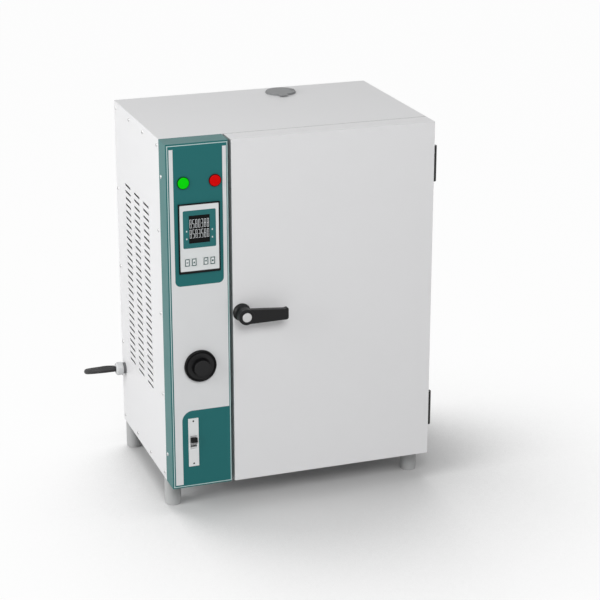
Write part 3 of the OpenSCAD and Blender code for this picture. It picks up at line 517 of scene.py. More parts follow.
    def made(self, name: str, body: str, *replaced: str, slot: str = "") -> bpy.types.Object:
        """Makes the piece.

        Args:
            name: The piece's name.
            body: The CAD body that it rides on.
            replaced: The CAD nodes that it stands for.
            slot: The record's material slot; not used.

        Returns:
            The piece.
        """
        mesh = bpy.data.meshes.new(name)
        self.bm.to_mesh(mesh)
        self.bm.free()
        for finish in self.finishes:
            mesh.materials.append(finish.material())
        mesh.polygons.foreach_set("use_smooth", [True] * len(mesh.polygons))
        mesh.set_sharp_from_angle(angle=SMOOTH_TURN)
        piece = bpy.data.objects.new(name, mesh)
        bpy.context.scene.collection.objects.link(piece)
        even = piece.modifiers.new("even_shading", "WEIGHTED_NORMAL")
        even.keep_sharp = True
        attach(piece, body)
        if replaced:
            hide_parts(*replaced)
        log.info("%s: %d faces on %s", name, len(mesh.polygons), body)
        return piece


def eased(node: str, name: str, finish: Finish, soft: float, body: str = "casing",
          segments: int = 2, slot: str = "") -> None:
    """Makes a piece that is its CAD node with eased edges.

    Args:
        node: The CAD node.
        name: The piece's name.
        finish: Its finish.
        soft: Bevel of its edges.
        body: The CAD body that it rides on.
        segments: Faces across the bevel.
        slot: The record's material slot, where its name isn't the finish's.
    """
    Form(finish).copied(node, soft, segments).made(name, body, node, slot=slot or finish.name)


def outline(*points: tuple[float, float]) -> list[tuple[float, float]]:
    """Turns an outline in millimetres into metres."""
    return [(across * MM, up * MM) for across, up in points]


def dress(finish: Finish, *nodes: str) -> None:
    """Gives CAD nodes that stay as they are a finish."""
    for node in nodes:
        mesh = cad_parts[node].data
        mesh.materials.clear()
        mesh.materials.append(finish.material())


def box_of(node: str) -> tuple[Vector, Vector]:
    """The lowest and highest corner of a CAD node at rest."""
    low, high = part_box(node)
    return Vector(low), Vector(high)


@dataclass
class Studio:
    """The camera, the lamps and the pale floor.

    Attributes:
        eye: Place of the camera.
        yaw: Turn of the camera to the right, in degrees.
        pitch: Its look down, in degrees.
        lens: Its focal length in millimetres.
        floor_half: Half the side of the floor.
        shadow_reach: How far from the oven the floor darkens.
        shadow_lean: The direction whose sky decides how dark the floor is.
        shadow_span: The shares of open sky where the floor's white begins and is full.
        whiteness: The most that the floor is plain white.
        matt: Colour of the matt floor in the shadow.
        aim: The point that the lamps face.
        ambient: Strength of the light from all round.
    """

    eye: Point = (-1.00865, -2.97000, 1.40649)
    yaw: float = 19.428
    pitch: float = 19.237
    lens: float = 113.43
    floor_half: float = 30.0
    shadow_reach: float = 0.8
    shadow_lean: Point = (-0.22, 0.42, 0.88)
    shadow_span: tuple[float, float] = (0.48, 0.93)
    whiteness: float = 0.97
    matt: tuple[float, float, float, float] = (0.6, 0.6, 0.6, 1)
    aim: Point = (0, 0, 0.3)
    ambient: float = 0.34

    def camera(self) -> None:
        """Makes the camera at the photograph's viewing angle."""
        data = bpy.data.cameras.new("camera")
        data.lens, data.sensor_width = self.lens, 36.0
        data.clip_end = 100.0
        camera = bpy.data.objects.new("camera", data)
        camera.location = self.eye
        camera.rotation_euler = (math.radians(90 - self.pitch), 0, math.radians(-self.yaw))
        bpy.context.scene.collection.objects.link(camera)
        bpy.context.scene.camera = camera

    def lamp(self, name: str, place: Point, size: tuple[float, float], watts: float) -> None:
        """Adds a soft rectangular lamp.

        Args:
            name: Its name.
            place: Where it stands.
            size: Its width and height.
            watts: Its power.
        """
        data = bpy.data.lights.new(name, "AREA")
        data.shape, data.size, data.size_y, data.energy = "RECTANGLE", size[0], size[1], watts
        lamp = bpy.data.objects.new(name, data)
        lamp.location = place
        to_aim = Vector(self.aim) - Vector(place)
        lamp.rotation_euler = to_aim.to_track_quat("-Z", "Y").to_euler()
        bpy.context.scene.collection.objects.link(lamp)

    def lights(self) -> None:
        """Lights the oven softly, most from its left, with a white surround."""
        self.lamp("left_softbox", (-2.7, -0.3, 1.3), (2.0, 1.8), 54.0)
        self.lamp("front_softbox", (-0.4, -3.2, 2.7), (1.7, 1.3), 76.0)
        self.lamp("roof_softbox", (-0.6, 0.9, 2.4), (2.0, 2.0), 2.0)
        world = bpy.data.worlds.new("surround")
        world.use_nodes = True
        world.node_tree.nodes.clear()
        book = NodeBook(world.node_tree)
        seen = self.seen_rays(book)
        dim = book.add("Background", Color=(1, 1, 1, 1), Strength=self.ambient)
        white = book.add("Background", Color=(1, 1, 1, 1), Strength=1.0)
        book.add("OutputWorld", Surface=book.shader_mix(seen, dim, white))
        bpy.context.scene.world = world

    @staticmethod
    def seen_rays(book: NodeBook) -> bpy.types.NodeSocket:
        """Gives 1 for a ray that shows the background to the eye, also in metal and glass."""
        path = book.add("LightPath")
        seen = book.maths("ADD", path.outputs["Is Camera Ray"], path.outputs["Is Glossy Ray"])
        seen = book.maths("ADD", seen, path.outputs["Is Transmission Ray"])
        return book.maths("MINIMUM", seen, 1.0)

    def floor(self) -> None:
        """Makes the floor: white where it lies open, and the lamp-lit matt floor near the oven,
        where a painted shadow from occlusion round a leaned direction fades the white.
        """
        part = bmesh.new()
        bmesh.ops.create_grid(part, x_segments=1, y_segments=1, size=self.floor_half)
        mesh = bpy.data.meshes.new("floor")
        part.to_mesh(mesh)
        part.free()
        floor = bpy.data.objects.new("floor", mesh)
        bpy.context.scene.collection.objects.link(floor)
        material = bpy.data.materials.new("floor_white")
        material.use_nodes = True
        material.node_tree.nodes.clear()
        book = NodeBook(material.node_tree)
        # Painted shadow: the white share follows occlusion round a leaned normal, so the floor
        # darkens towards the oven's front and right, not by the lamps.
        sky = book.add("AmbientOcclusion", {"samples": 16}, Distance=self.shadow_reach)
        lean = book.add("CombineXYZ", **dict(zip("XYZ", self.shadow_lean)))
        book.feed(sky, "Normal", lean.outputs[0])
        edge = book.add("MapRange", {"interpolation_type": "SMOOTHSTEP"}, Value=sky.outputs["AO"],
                        From_Min=self.shadow_span[0], From_Max=self.shadow_span[1],
                        To_Min=0.0, To_Max=self.whiteness).outputs["Result"]
        share = book.maths("MULTIPLY", edge, self.seen_rays(book))
        matt = book.add("BsdfDiffuse", Color=self.matt)
        white = book.add("Emission", Color=(1, 1, 1, 1), Strength=1.0)
        book.add("OutputMaterial", Surface=book.shader_mix(share, matt, white))
        mesh.materials.append(material)


@dataclass
class MainsLead:
    """The cable gland, the free lead with its coil, and the plug.

    Attributes:
        length: Length of the lead from the gland to the plug, in metres.
        thick: Diameter of the lead.
        line_y: Y of the lead where it meets the coil, in millimetres.
        bend: Radius of the half loop beside the gland, in millimetres.
        fall: How far the loop sinks for each millimetre that it goes back.
        drop: Points from the loop down to the coil: X in millimetres, then the shares of the way
            left to the coil's line and to the floor.
        coil_radius: Radius at the middle of the coil's turns, in millimetres.
        turns: Number of its turns.
        plug_start: X of the plug's relief, in millimetres.
    """

    length: float = 1.496
    thick: float = 10 * MM
    line_y: float = 208.0
    bend: float = 40.0
    fall: float = 0.36
    drop: tuple[Point, ...] = (
        (-254, 1, 1), (-236, 1, 0.965), (-220, 0.97, 0.856), (-200, 0.875, 0.638),
        (-179, 0.75, 0.42), (-158, 0.59, 0.193), (-146, 0.47, 0.092), (-129, 0.31, 0.021),
        (-111, 0.19, 0.002),
        (-92, 0.08, 0), (-72, 0.02, 0), (-52, 0, 0), (-35, 0, 0), (-18, 0, 0))
    coil_radius: float = 54.0
    turns: int = 3
    plug_start: float = 36.0

    def route(self) -> list[Point]:
        """Gives the lead's points from the gland to the coil, in millimetres."""
        low, high = box_of("cable_gland")
        x, y, z = low.x / MM, (low.y + high.y) / 2 / MM, (low.z + high.z) / 2 / MM
        points = [(x, y, z)]
        for degrees in range(15, 180, 30):
            turn = math.radians(degrees)
            back = self.bend * (1 - math.cos(turn))
            points.append((x - 4 - self.bend * math.sin(turn), y + back, z - self.fall * back))
        end_y, end_z = y + 2 * self.bend, z - 2 * self.fall * self.bend
        floor = self.thick / MM / 2
        for x, aside, above in self.drop:
            points.append((x, self.line_y + (end_y - self.line_y) * aside,
                           floor + (end_z - floor) * above))
        return points

    def coil(self) -> list[Point]:
        """Gives the coil's points: two turns side by side, then one on top of them."""
        half = self.thick / MM / 2
        middle = self.line_y + self.coil_radius + half
        points = []
        steps = 20
        for step in range(1, self.turns * steps):
            turn = step / steps
            inward = self.ease(turn, 0.82, 1.0) - self.ease(turn, 2.45, 2.65)
            radius = self.coil_radius + half - 2 * half * inward
            height = half + 2 * half * self.ease(turn, 1.62, 1.8)
            angle = math.tau * turn - math.pi / 2
            points.append((radius * math.cos(angle), middle + radius * math.sin(angle), height))
        return points

    @staticmethod
    def ease(value: float, start: float, end: float) -> float:
        """Rises smoothly from 0 at start to 1 at end."""
        part = min(1.0, max(0.0, (value - start) / (end - start)))
        return part * part * (3 - 2 * part)

    def line(self) -> list[Vector]:
        """Gives the whole lead's points, in metres."""
        half = self.thick / MM / 2
        tail = [(x, self.line_y, 3 * half) for x in (0.0, 18.0, self.plug_start)]
        start = (0.0, self.line_y, half)
        return [Vector(p) * MM for p in (*self.route(), start, *self.coil(), *tail)]

    def lead(self, plug: bpy.types.Object) -> None:
        """Args:
            plug: The plug on its far end; not used.
        """
        data = bpy.data.curves.new("mains_lead", "CURVE")
        data.dimensions = "3D"
        data.bevel_depth, data.bevel_resolution = self.thick / 2, 4
        data.resolution_u = 5
        data.use_fill_caps = True
        spline = data.splines.new("BEZIER")
        points = self.line()
        spline.bezier_points.add(len(points) - 1)
        for knot, point in zip(spline.bezier_points, points):
            knot.co = point
            knot.handle_left_type = knot.handle_right_type = "AUTO"
        data.materials.append(CORD_RUBBER.material())
        lead = bpy.data.objects.new("mains_lead", data)
        bpy.context.scene.collection.objects.link(lead)
        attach(lead, "casing")
        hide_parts("cord_run", "cord_coil", "cord_tail")
        log.info("mains_lead: %.3f m", self.length)

    def plug(self) -> bpy.types.Object:
        """Makes the plug: ribbed relief, moulded body with grips, three round pins.

        Returns:
            The plug.
        """
        low, high = box_of("mains_plug")
        middle_y, middle_z = (low.y + high.y) / 2, (low.z + high.z) / 2
        relief, pins, ribs, rib_pitch, groove = 30.0, 19.0, 5, 5.4, 1.1
        body_x, pin_x = low.x + relief * MM, high.x - pins * MM
        form = Form(CORD_RUBBER)
        profile = [(0, 0), (5.8, 0)]
        for rib in range(ribs):
            base, radius = 1.5 + rib * rib_pitch, 6.0 + rib * 0.6
            profile += [(radius, base), (radius, base + 3.2), (radius - groove, base + 3.7),
                        (radius - groove, base + 5.0)]
        profile += [(8.2, relief), (0, relief)]
        form.turned((low.x, middle_y, middle_z), Axis.RIGHT, outline(*profile), 32)
        form.box((body_x, low.y, low.z), (pin_x, high.y, high.z), 1.6 * MM, 7 * MM, 0, 3)
        grips, grip_pitch, grip_wide, grip_thick, grip_half = 4, 6.0, 2.6 * MM, 1.2 * MM, 7 * MM
        for grip in range(grips):
            x = body_x + (9 + grip * grip_pitch) * MM
            for side in (low.y + 0.1 * MM, high.y - 1.3 * MM):
                form.box((x, side, middle_z - grip_half),
                         (x + grip_wide, side + grip_thick, middle_z + grip_half), 0.5 * MM)
        form.dressed(BRASS)
        for offset, height, radius in ((0, 6, 3.5), (-9.5, -4, 2.5), (9.5, -4, 2.5)):
            form.rod((pin_x - MM, middle_y + offset * MM, middle_z + height * MM), Axis.RIGHT,
                     radius * MM, high.x - pin_x + MM, 0.8 * MM, 24)
        return form.made("mains_plug_body", "casing", "mains_plug", slot="black_plastic")

    def gland(self) -> None:
        """Makes the gland: collar, ribbed nut, and the locknut inside."""
        low, high = box_of("cable_gland")
        panel = box_of("left_side_panel")[0].x
        y, z = (low.y + high.y) / 2, (low.z + high.z) / 2
        collar_r, collar_long, nut_off, sheet = 10.1 * MM, 5.8 * MM, 5.5 * MM, 1.2 * MM
        ribs, rib_ring, rib_off, rib_r, rib_long = 18, 11.35 * MM, 15.2 * MM, 0.62 * MM, 8.4 * MM
        thread_r, sunk = 8.3 * MM, 2 * MM
        form = Form(DARK_GREY).rod((panel, y, z), Axis.LEFT, collar_r, collar_long, 0.3 * MM, 48)
        nut = outline((0, 0), (10.6, 0), (11.3, 0.5), (11.5, 1.4), (11.5, 9.6), (11.1, 11.0),
                      (10.0, 12.1), (8.6, 12.5), (0, 12.5))
        form.dressed(GREY_PLASTIC).turned((panel - nut_off, y, z), Axis.LEFT, nut, 48)
        for rib in range(ribs):
            angle = math.tau * rib / ribs
            aside, up = rib_ring * math.cos(angle), rib_ring * math.sin(angle)
            form.rod((panel - rib_off, y + aside, z + up), Axis.RIGHT, rib_r, rib_long, 0, 6)
        locknut = outline((0, 0), (14, 0), (14, 5), (0, 5))
        form.turned((panel + sheet, y, z), Axis.RIGHT, locknut, 6, 0.5 * MM)
        form.rod((panel - sunk, y, z), Axis.RIGHT, thread_r, high.x - panel + sunk, 0.4 * MM)
        form.made("cable_gland_body", "casing", "cable_gland", slot="grey_plastic")

    def build(self) -> None:
        """Makes the gland, the plug and the lead."""
        self.lead(self.plug())
        self.gland()


class Fastener:
    """Adds screws to a form."""

    @staticmethod
    def pan_head(form: Form, spot: Point, axis: Axis, radius: float = 3.3 * MM,
                 height: float = 1.5 * MM) -> None:
        """Adds a domed screw head with a dark cross on its top, painted shade that stands in for a
        cross recess.

        Args:
            form: The form that gets it.
            spot: The middle of its underside.
            axis: The direction that it faces.
            radius: Its radius.
            height: Its height.
        """
        form.dressed(PLATED).turned(spot, axis, [
            (0, -0.4 * height), (radius, -0.4 * height), (radius, height * 0.35),
            (radius * 0.9, height * 0.66), (radius * 0.66, height * 0.86),
            (radius * 0.3, height * 0.95), (0, height * 0.96)], 20)
        forward = Vector(axis.value)
        side = Vector((0, 0, 1)) if axis is not Axis.UP else Vector((1, 0, 0))
        top = Vector(spot) + forward * height * 0.93
        # The recess isn't cut: two thin dark bars on the dome are painted shade in its place.
        form.dressed(CHARCOAL)
        for arm in (side, forward.cross(side)):
            reach = (arm * radius * 0.52 + forward.cross(arm) * radius * 0.11
                     + forward * height * 0.045)
            sides = [sorted(pair) for pair in zip(top - reach, top + reach)]
            form.box([pair[0] for pair in sides], [pair[1] for pair in sides])


@dataclass
class Casing:
    """The sheet-metal casing with its frame, screws and feet.

    Attributes:
        screw_edge: Distance of a screw from the edge of its panel.
        screw_rows: Screws along an upright edge.
        housing_screw_low: Height of the housing's lower side screw over its floor.
        housing_screw_top: Depth of its upper one under its top.
        foot_radius: Radius of a foot.
        ease: Bevel of the sheets' edges.
    """

    screw_edge: float = 11 * MM
    screw_rows: int = 5
    housing_screw_low: float = 53 * MM
    housing_screw_top: float = 60 * MM
    foot_radius: float = 14 * MM
    ease: float = 0.35 * MM

    def sheets(self) -> None:
        """Makes the outer sheets from the CAD, with eased edges."""
        for node in ("left_side_panel", "right_side_panel", "top_panel", "back_panel",
                     "base_panel"):
            eased(node, node.replace("panel", "sheet"), CASE_PAINT, self.ease)
        dress(GALVANISED, "corner_posts", "partition_panel")

    def screws(self) -> None:
        """Makes the screws of the side sheets, the back and the control housing."""
        left, right = box_of("left_side_panel"), box_of("right_side_panel")
        low, high = left[0].z + self.screw_edge, left[1].z - self.screw_edge
        heights = [low + (high - low) * row / (self.screw_rows - 1)
                   for row in range(self.screw_rows)]
        form = Form(PLATED)
        front, back = left[0].y + self.screw_edge, left[1].y - self.screw_edge
        for x, axis in ((left[0].x, Axis.LEFT), (right[1].x, Axis.RIGHT)):
            spots = [(y, z) for z in heights for y in (front, back)]
            spots += [(front + (back - front) * k / 3, z) for z in (low, high) for k in (1, 2)]
            for y, z in spots:
                Fastener.pan_head(form, (x, y, z), axis)
        west, east = left[0].x + self.screw_edge, right[1].x - self.screw_edge
        spots = [(x, z) for z in heights for x in (west, east)]
        spots += [(west + (east - west) * k / 3, z) for z in (low, high) for k in (1, 2)]
        for x, z in spots:
            Fastener.pan_head(form, (x, left[1].y, z), Axis.BACK)
        housing = box_of("control_housing")
        for z in (housing[0].z + self.housing_screw_low, housing[1].z - self.housing_screw_top):
            Fastener.pan_head(form, (left[0].x, left[0].y - self.screw_edge, z), Axis.LEFT)
        form.made("casing_screw_heads", "casing", "case_screws", slot="plated_steel")

    def feet(self) -> None:
        """Makes the four round feet with a rounded rim at the floor."""
        low, high = box_of("support_feet")
        radius, tall = self.foot_radius, high.z - low.z
        form = Form(FOOT_PAINT)
        for x in (low.x + radius, high.x - radius):
            for y in (low.y + radius, high.y - radius):
                form.turned((x, y, 0), Axis.UP, [
                    (0, 0.8 * MM), (radius * 0.7, 0.8 * MM), (radius * 0.72, 0), (radius * 0.9, 0),
                    (radius * 0.95, 0.5 * MM), (radius * 0.965, 1.6 * MM), (radius, 8 * MM),
                    (radius, tall), (0, tall)], 56)
        form.made("feet_round", "casing", "support_feet", slot="foot_paint")

    def build(self) -> None:
        """Makes the casing."""
        self.sheets()
        self.screws()
        self.feet()


@dataclass
class Chamber:
    """The chamber's lining, the heater, the probe and the shelves.

    Attributes:
        rim: Thickness of a shelf's rim bars.
        wire: Thickness of a shelf's wires.
        wires: Number of wires in a shelf.
        ease: Bevel of the edges of what the CAD shapes.
    """

    rim: float = 5 * MM
    wire: float = 2.6 * MM
    wires: int = 15
    ease: float = 0.25 * MM

    def lining(self) -> None:
        """Dresses the sheets of the chamber and what stays hidden behind them."""
        dress(STAINLESS, "chamber_floor", "chamber_roof", "chamber_back_wall", "front_frame")
        dress(STAINLESS_UPRIGHT, "chamber_left_wall", "chamber_right_wall")
        dress(GLASS_WOOL, "insulation_slabs", "door_insulation")
        eased("shelf_rails", "shelf_rail_angles", STAINLESS, 0.3 * MM)

    def shelf(self, node: str) -> None:
        """Makes a wire shelf: a rim of square bars, round wires, and two cross bars.

        Args:
            node: The CAD node that it stands for.
        """
        low, high = box_of(node)
        form = Form(STAINLESS)
        round_off, half = 1.4 * MM, self.rim / 2
        for x in (low.x, high.x - self.rim):
            form.box((x, low.y, low.z), (x + self.rim, high.y, high.z), round_off, segments=3)
        for y in (low.y, high.y - self.rim):
            form.box((low.x + half, y, low.z), (high.x - half, y + self.rim, high.z), round_off,
                     segments=3)
        middle = (low.z + high.z) / 2
        for wire in range(1, self.wires + 1):
            x = low.x + (high.x - low.x) * wire / (self.wires + 1)
            form.rod((x, low.y + half, middle), Axis.BACK, self.wire / 2,
                     high.y - low.y - self.rim, steps=12)
        form.made(node + "_wires", "casing", node, slot="stainless")

    def build(self) -> None:
        """Makes what is inside the chamber."""
        self.lining()
        self.shelf("upper_shelf")
        self.shelf("lower_shelf")
        for node, finish in (
                ("heater_element", SHEATH), ("heater_brackets", STAINLESS),
                ("temperature_probe", STAINLESS), ("vent_pipe", STAINLESS),
                ("terminal_block", WHITE_PLASTIC), ("thermostat_body", GREY_PLASTIC),
                ("breaker_body", GREY_PLASTIC)):
            eased(node, node + "_detail", finish, self.ease)


@dataclass
class Vent:
    """The roof vent: base plate, rivet and the damper that turns on it.

    Attributes:
        ease: Bevel of the discs' edges.
    """

    ease: float = 0.3 * MM

    def build(self) -> None:
        """Makes the vent."""
        eased("vent_base", "vent_base_disc", VENT_METAL, self.ease)
        eased("vent_damper", "vent_damper_disc", VENT_METAL, self.ease, "damper")


@dataclass
class Hinges:
    """The two side hinges with their pins and screws.

    Attributes:
        ease: Bevel of the leaves' edges.
        tall: Height of a hinge.
        leaf: Thickness of a leaf.
        inset: Distance of the screws from a leaf's free edge.
        screw_heights: Heights of a leaf's screws over its lower end.
    """

    ease: float = 0.4 * MM
    tall: float = 62 * MM
    leaf: float = 2.2 * MM
    inset: float = 7 * MM
    screw_heights: tuple[float, ...] = (10 * MM, 31 * MM, 52 * MM)

    def leaves(self, node: str, body: str, backward: bool) -> None:
        """Makes the leaves on one side of the hinges.

        Args:
            node: The CAD node of the leaves.
            body: The body that they ride on.
            backward: True for the casing's leaves, which reach back.
        """
        low, high = box_of(node)
        form = Form(BLACK_METAL).copied(node, self.ease)
        panel = box_of("right_side_panel")[1].x
        y = high.y - self.inset if backward else low.y + self.inset
        for bottom in (low.z, high.z - self.tall):
            for up in self.screw_heights:
                Fastener.pan_head(form, (panel + self.leaf, y, bottom + up), Axis.RIGHT, 2.9 * MM,
                                  1.1 * MM)
        form.made(node + "_plates", body, node, slot="black_metal")

    def build(self) -> None:
        """Makes the hinges."""
        self.leaves("hinge_case_leaves", "casing", True)
        self.leaves("hinge_door_leaves", "door", False)
        eased("hinge_pins", "hinge_pin_rods", PLATED, 0.6 * MM)


@dataclass
class Door:
    """The door, its gasket, the latch and the handle.

    Attributes:
        ease: Bevel of the shell's folded edges.
        screw_edge: Distance of a screw from the inner panel's edge.
        screw_rows: Screws along each side of the inner panel.
        shade_strip_wide: Width of the thin dark strip at the rim, painted shade for the seam
            between door and casing.
        shade_strip_thick: How far that strip reaches towards the casing.
        shade_strip_inset: How far it stays in from the shell's edge.
    """

    ease: float = 0.9 * MM
    screw_edge: float = 12 * MM
    screw_rows: int = 5
    shade_strip_wide: float = 2.0 * MM
    shade_strip_thick: float = 1.3 * MM
    shade_strip_inset: float = 0.15 * MM

    def leaf(self) -> None:
        """Makes the shell, the inner panel with its screws, the gasket, and a thin dark strip at
        the rim that is painted shade for the seam.
        """
        eased("door_shell", "door_skin", CASE_PAINT, self.ease, "door", 3)
        form = Form(STAINLESS).copied("door_inner_panel", 0.3 * MM)
        low, high = box_of("door_inner_panel")
        edge = self.screw_edge
        for x in (low.x + edge, high.x - edge):
            for row in range(self.screw_rows):
                z = low.z + edge + (high.z - low.z - 2 * edge) * row / (self.screw_rows - 1)
                Fastener.pan_head(form, (x, high.y, z), Axis.BACK, 2.8 * MM, 1.2 * MM)
        form.made("door_inner_sheet", "door", "door_inner_panel", slot="stainless")
        form = Form(GASKET).copied("door_gasket", 2.2 * MM, 4).dressed(CORD_RUBBER)
        # The dark rubber strip behind the shell's rim is painted shade: it darkens the seam
        # between door and casing.
        low, high = box_of("door_shell")
        near, far = high.y + 0.05 * MM, high.y + self.shade_strip_thick
        west, east = low.x + self.shade_strip_inset, high.x - self.shade_strip_inset
        floor, top = low.z + self.shade_strip_inset, high.z - self.shade_strip_inset
        inner = self.shade_strip_wide
        for x0, x1, z0, z1 in (
                (west, east, floor, low.z + inner), (west, east, high.z - inner, top),
                (west, low.x + inner, low.z + inner, high.z - inner),
                (high.x - inner, east, low.z + inner, high.z - inner)):
            form.box((x0, near, z0), (x1, far, z1))
        form.made("door_gasket_and_shade_strip", "door", "door_gasket", slot="gasket_rubber")

    def latch(self) -> None:
        """Makes the spindle with its cam, and the strike on the frame."""
        eased("latch_spindle", "latch_spindle_cam", PLATED, 0.5 * MM, "handle")
        eased("latch_strike", "latch_strike_plate", STAINLESS, 0.5 * MM)

    def handle(self) -> None:
        """Makes the flared rosette, the tapering lever and the cap."""
        low, high = box_of("handle_rosette")
        x, z, back = (low.x + high.x) / 2, (low.z + high.z) / 2, high.y
        rosette = outline((5.1, 0), (15.3, 0), (15.3, 1.1), (14.9, 1.9), (13.6, 2.9), (12.2, 4.4),
                          (11.2, 6.4), (10.6, 9.0), (10.3, 11.6), (10.1, 12.6), (9.4, 13.0),
                          (5.1, 13.0), (5.1, 0))
        form = Form(BLACK_METAL).turned((x, back, z), Axis.FRONT, rosette, 64)
        form.made("rosette_turned", "door", "handle_rosette", slot="black_metal")
        low, high = box_of("handle_lever")
        form = Form(BLACK_METAL)
        root, tip, under, over = 12.7 * MM, high.x, z - 12 * MM, z + 7 * MM
        steps = 12
        points = [(x - root * math.sin(math.pi * step / steps),
                   z + root * math.cos(math.pi * step / steps)) for step in range(steps + 1)]
        points += [(tip - in_x * MM, edge + up * MM) for in_x, edge, up in (
            (4.2, under, 0.1), (1.4, under, 0.9), (0, under, 3.2), (0, over, -0.6),
            (0.6, over, 1.0), (2.2, over, 1.4), (6.5, over, 0.1))]
        back_in, thick, rounding = 11.5 * MM, 10.9 * MM, 1.1 * MM
        form.plate(points, low.y + back_in, thick, rounding)
        hub = outline((5.1, 0), (13.5, 0), (13.5, 12.0), (13.2, 12.7), (12.5, 12.9), (8.5, 12.9),
                      (8.5, 7), (5.1, 7), (5.1, 0))
        form.turned((x, high.y, z), Axis.FRONT, hub, 64)
        form.made("lever_cast", "handle", "handle_lever", slot="black_metal")
        low, high = box_of("lever_cap")
        cap = outline((0, 0), (8.1, 0), (8.1, 3.2), (7.8, 3.7), (7.0, 3.95), (0, 4.0))
        form = Form(PLATED).turned((x, high.y, z), Axis.FRONT, cap, 48)
        form.made("lever_cap_disc", "handle", "lever_cap", slot="plated_steel")

    def build(self) -> None:
        """Makes the door."""
        self.leaf()
        self.latch()
        self.handle()


@dataclass(frozen=True)
class Zone:
    """A rounded rectangle of one print colour on an upright face, in millimetres.

    Attributes:
        left: X of its left side.
        right: X of its right side.
        low: Z of its lower side.
        high: Z of its upper side.
        radius: Radius of its corners.
        colour: Its colour as a screen shows it.
    """

    left: float
    right: float
    low: float
    high: float
    radius: float
    colour: tuple[float, float, float]


class ZonePrint:
    """A printed sheet: zones of plain colour, one over another, on a base colour."""

    mask_group: bpy.types.NodeTree | None = None

    @classmethod
    def group(cls) -> bpy.types.NodeTree:
        """Gives the node group that masks one rounded rectangle, built once."""
        if cls.mask_group is None:
            cls.mask_group = cls.build_group()
        return cls.mask_group

    @staticmethod
    def build_group() -> bpy.types.NodeTree:
        """Builds the mask group.

        Returns:
            A group from a rectangle's middle, half size and corner radius to a Mask output.
        """
        tree = bpy.data.node_groups.new("printed_zone", "ShaderNodeTree")
        for name in ("Across", "Up", "Half Width", "Half Height", "Radius"):
            tree.interface.new_socket(name, in_out="INPUT", socket_type="NodeSocketFloat")
        tree.interface.new_socket("Mask", in_out="OUTPUT", socket_type="NodeSocketFloat")
        book = NodeBook(tree)
        entry, leave = book.add("NodeGroupInput"), book.add("NodeGroupOutput")
        place = book.add("SeparateXYZ", Vector=book.add("TexCoord").outputs["Object"])
        radius = entry.outputs["Radius"]
        sides = []
        for axis, middle, half in (("X", "Across", "Half Width"), ("Z", "Up", "Half Height")):
            away = book.maths("SUBTRACT", place.outputs[axis], entry.outputs[middle])
            past = book.maths("SUBTRACT", book.maths("ABSOLUTE", away), entry.outputs[half])
            sides.append(book.maths("ADD", past, radius))
        outside = [book.maths("MAXIMUM", side, 0.0) for side in sides]
        squares = [book.maths("MULTIPLY", side, side) for side in outside]
        corner = book.maths("SQRT", book.maths("ADD", *squares))
        inside = book.maths("MINIMUM", book.maths("MAXIMUM", *sides), 0.0)
        distance = book.maths("SUBTRACT", book.maths("ADD", corner, inside), radius)
        mask = book.add("MapRange", Value=distance, From_Min=0.08 * MM, From_Max=-0.08 * MM)
        book.feed(leave, "Mask", mask.outputs["Result"])
        return tree

    @classmethod
    def material(cls, finish: Finish, zones: Sequence[Zone]) -> bpy.types.Material:
        """Prints zones over a finish.

        Args:
            finish: The finish of the sheet, with its base colour.
            zones: The zones, from the lowest layer to the highest.

        Returns:
            The finish's own material with the print in its base colour.
        """
        material = finish.material()
        book = NodeBook(material.node_tree)
        shader = next(n for n in book.tree.nodes if n.type == "BSDF_PRINCIPLED")
        pattern = next(n for n in book.tree.nodes if n.type == "GROUP")
        ink: object = shade(*finish.colour)
        for zone in zones:
            mask = book.add("Group", {"node_tree": cls.group()},
                            Across=(zone.left + zone.right) / 2 * MM,
                            Up=(zone.low + zone.high) / 2 * MM,
                            Half_Width=(zone.right - zone.left) / 2 * MM,
                            Half_Height=(zone.high - zone.low) / 2 * MM, Radius=zone.radius * MM)
            ink = book.blend(mask.outputs["Mask"], ink, shade(*zone.colour))
        worn = book.blend(pattern.outputs["Tone"], (0.96, 0.96, 0.96, 1), (1, 1, 1, 1))
        book.feed(shader, "Base Color", book.blend(1.0, ink, worn, "MULTIPLY"))
        return material


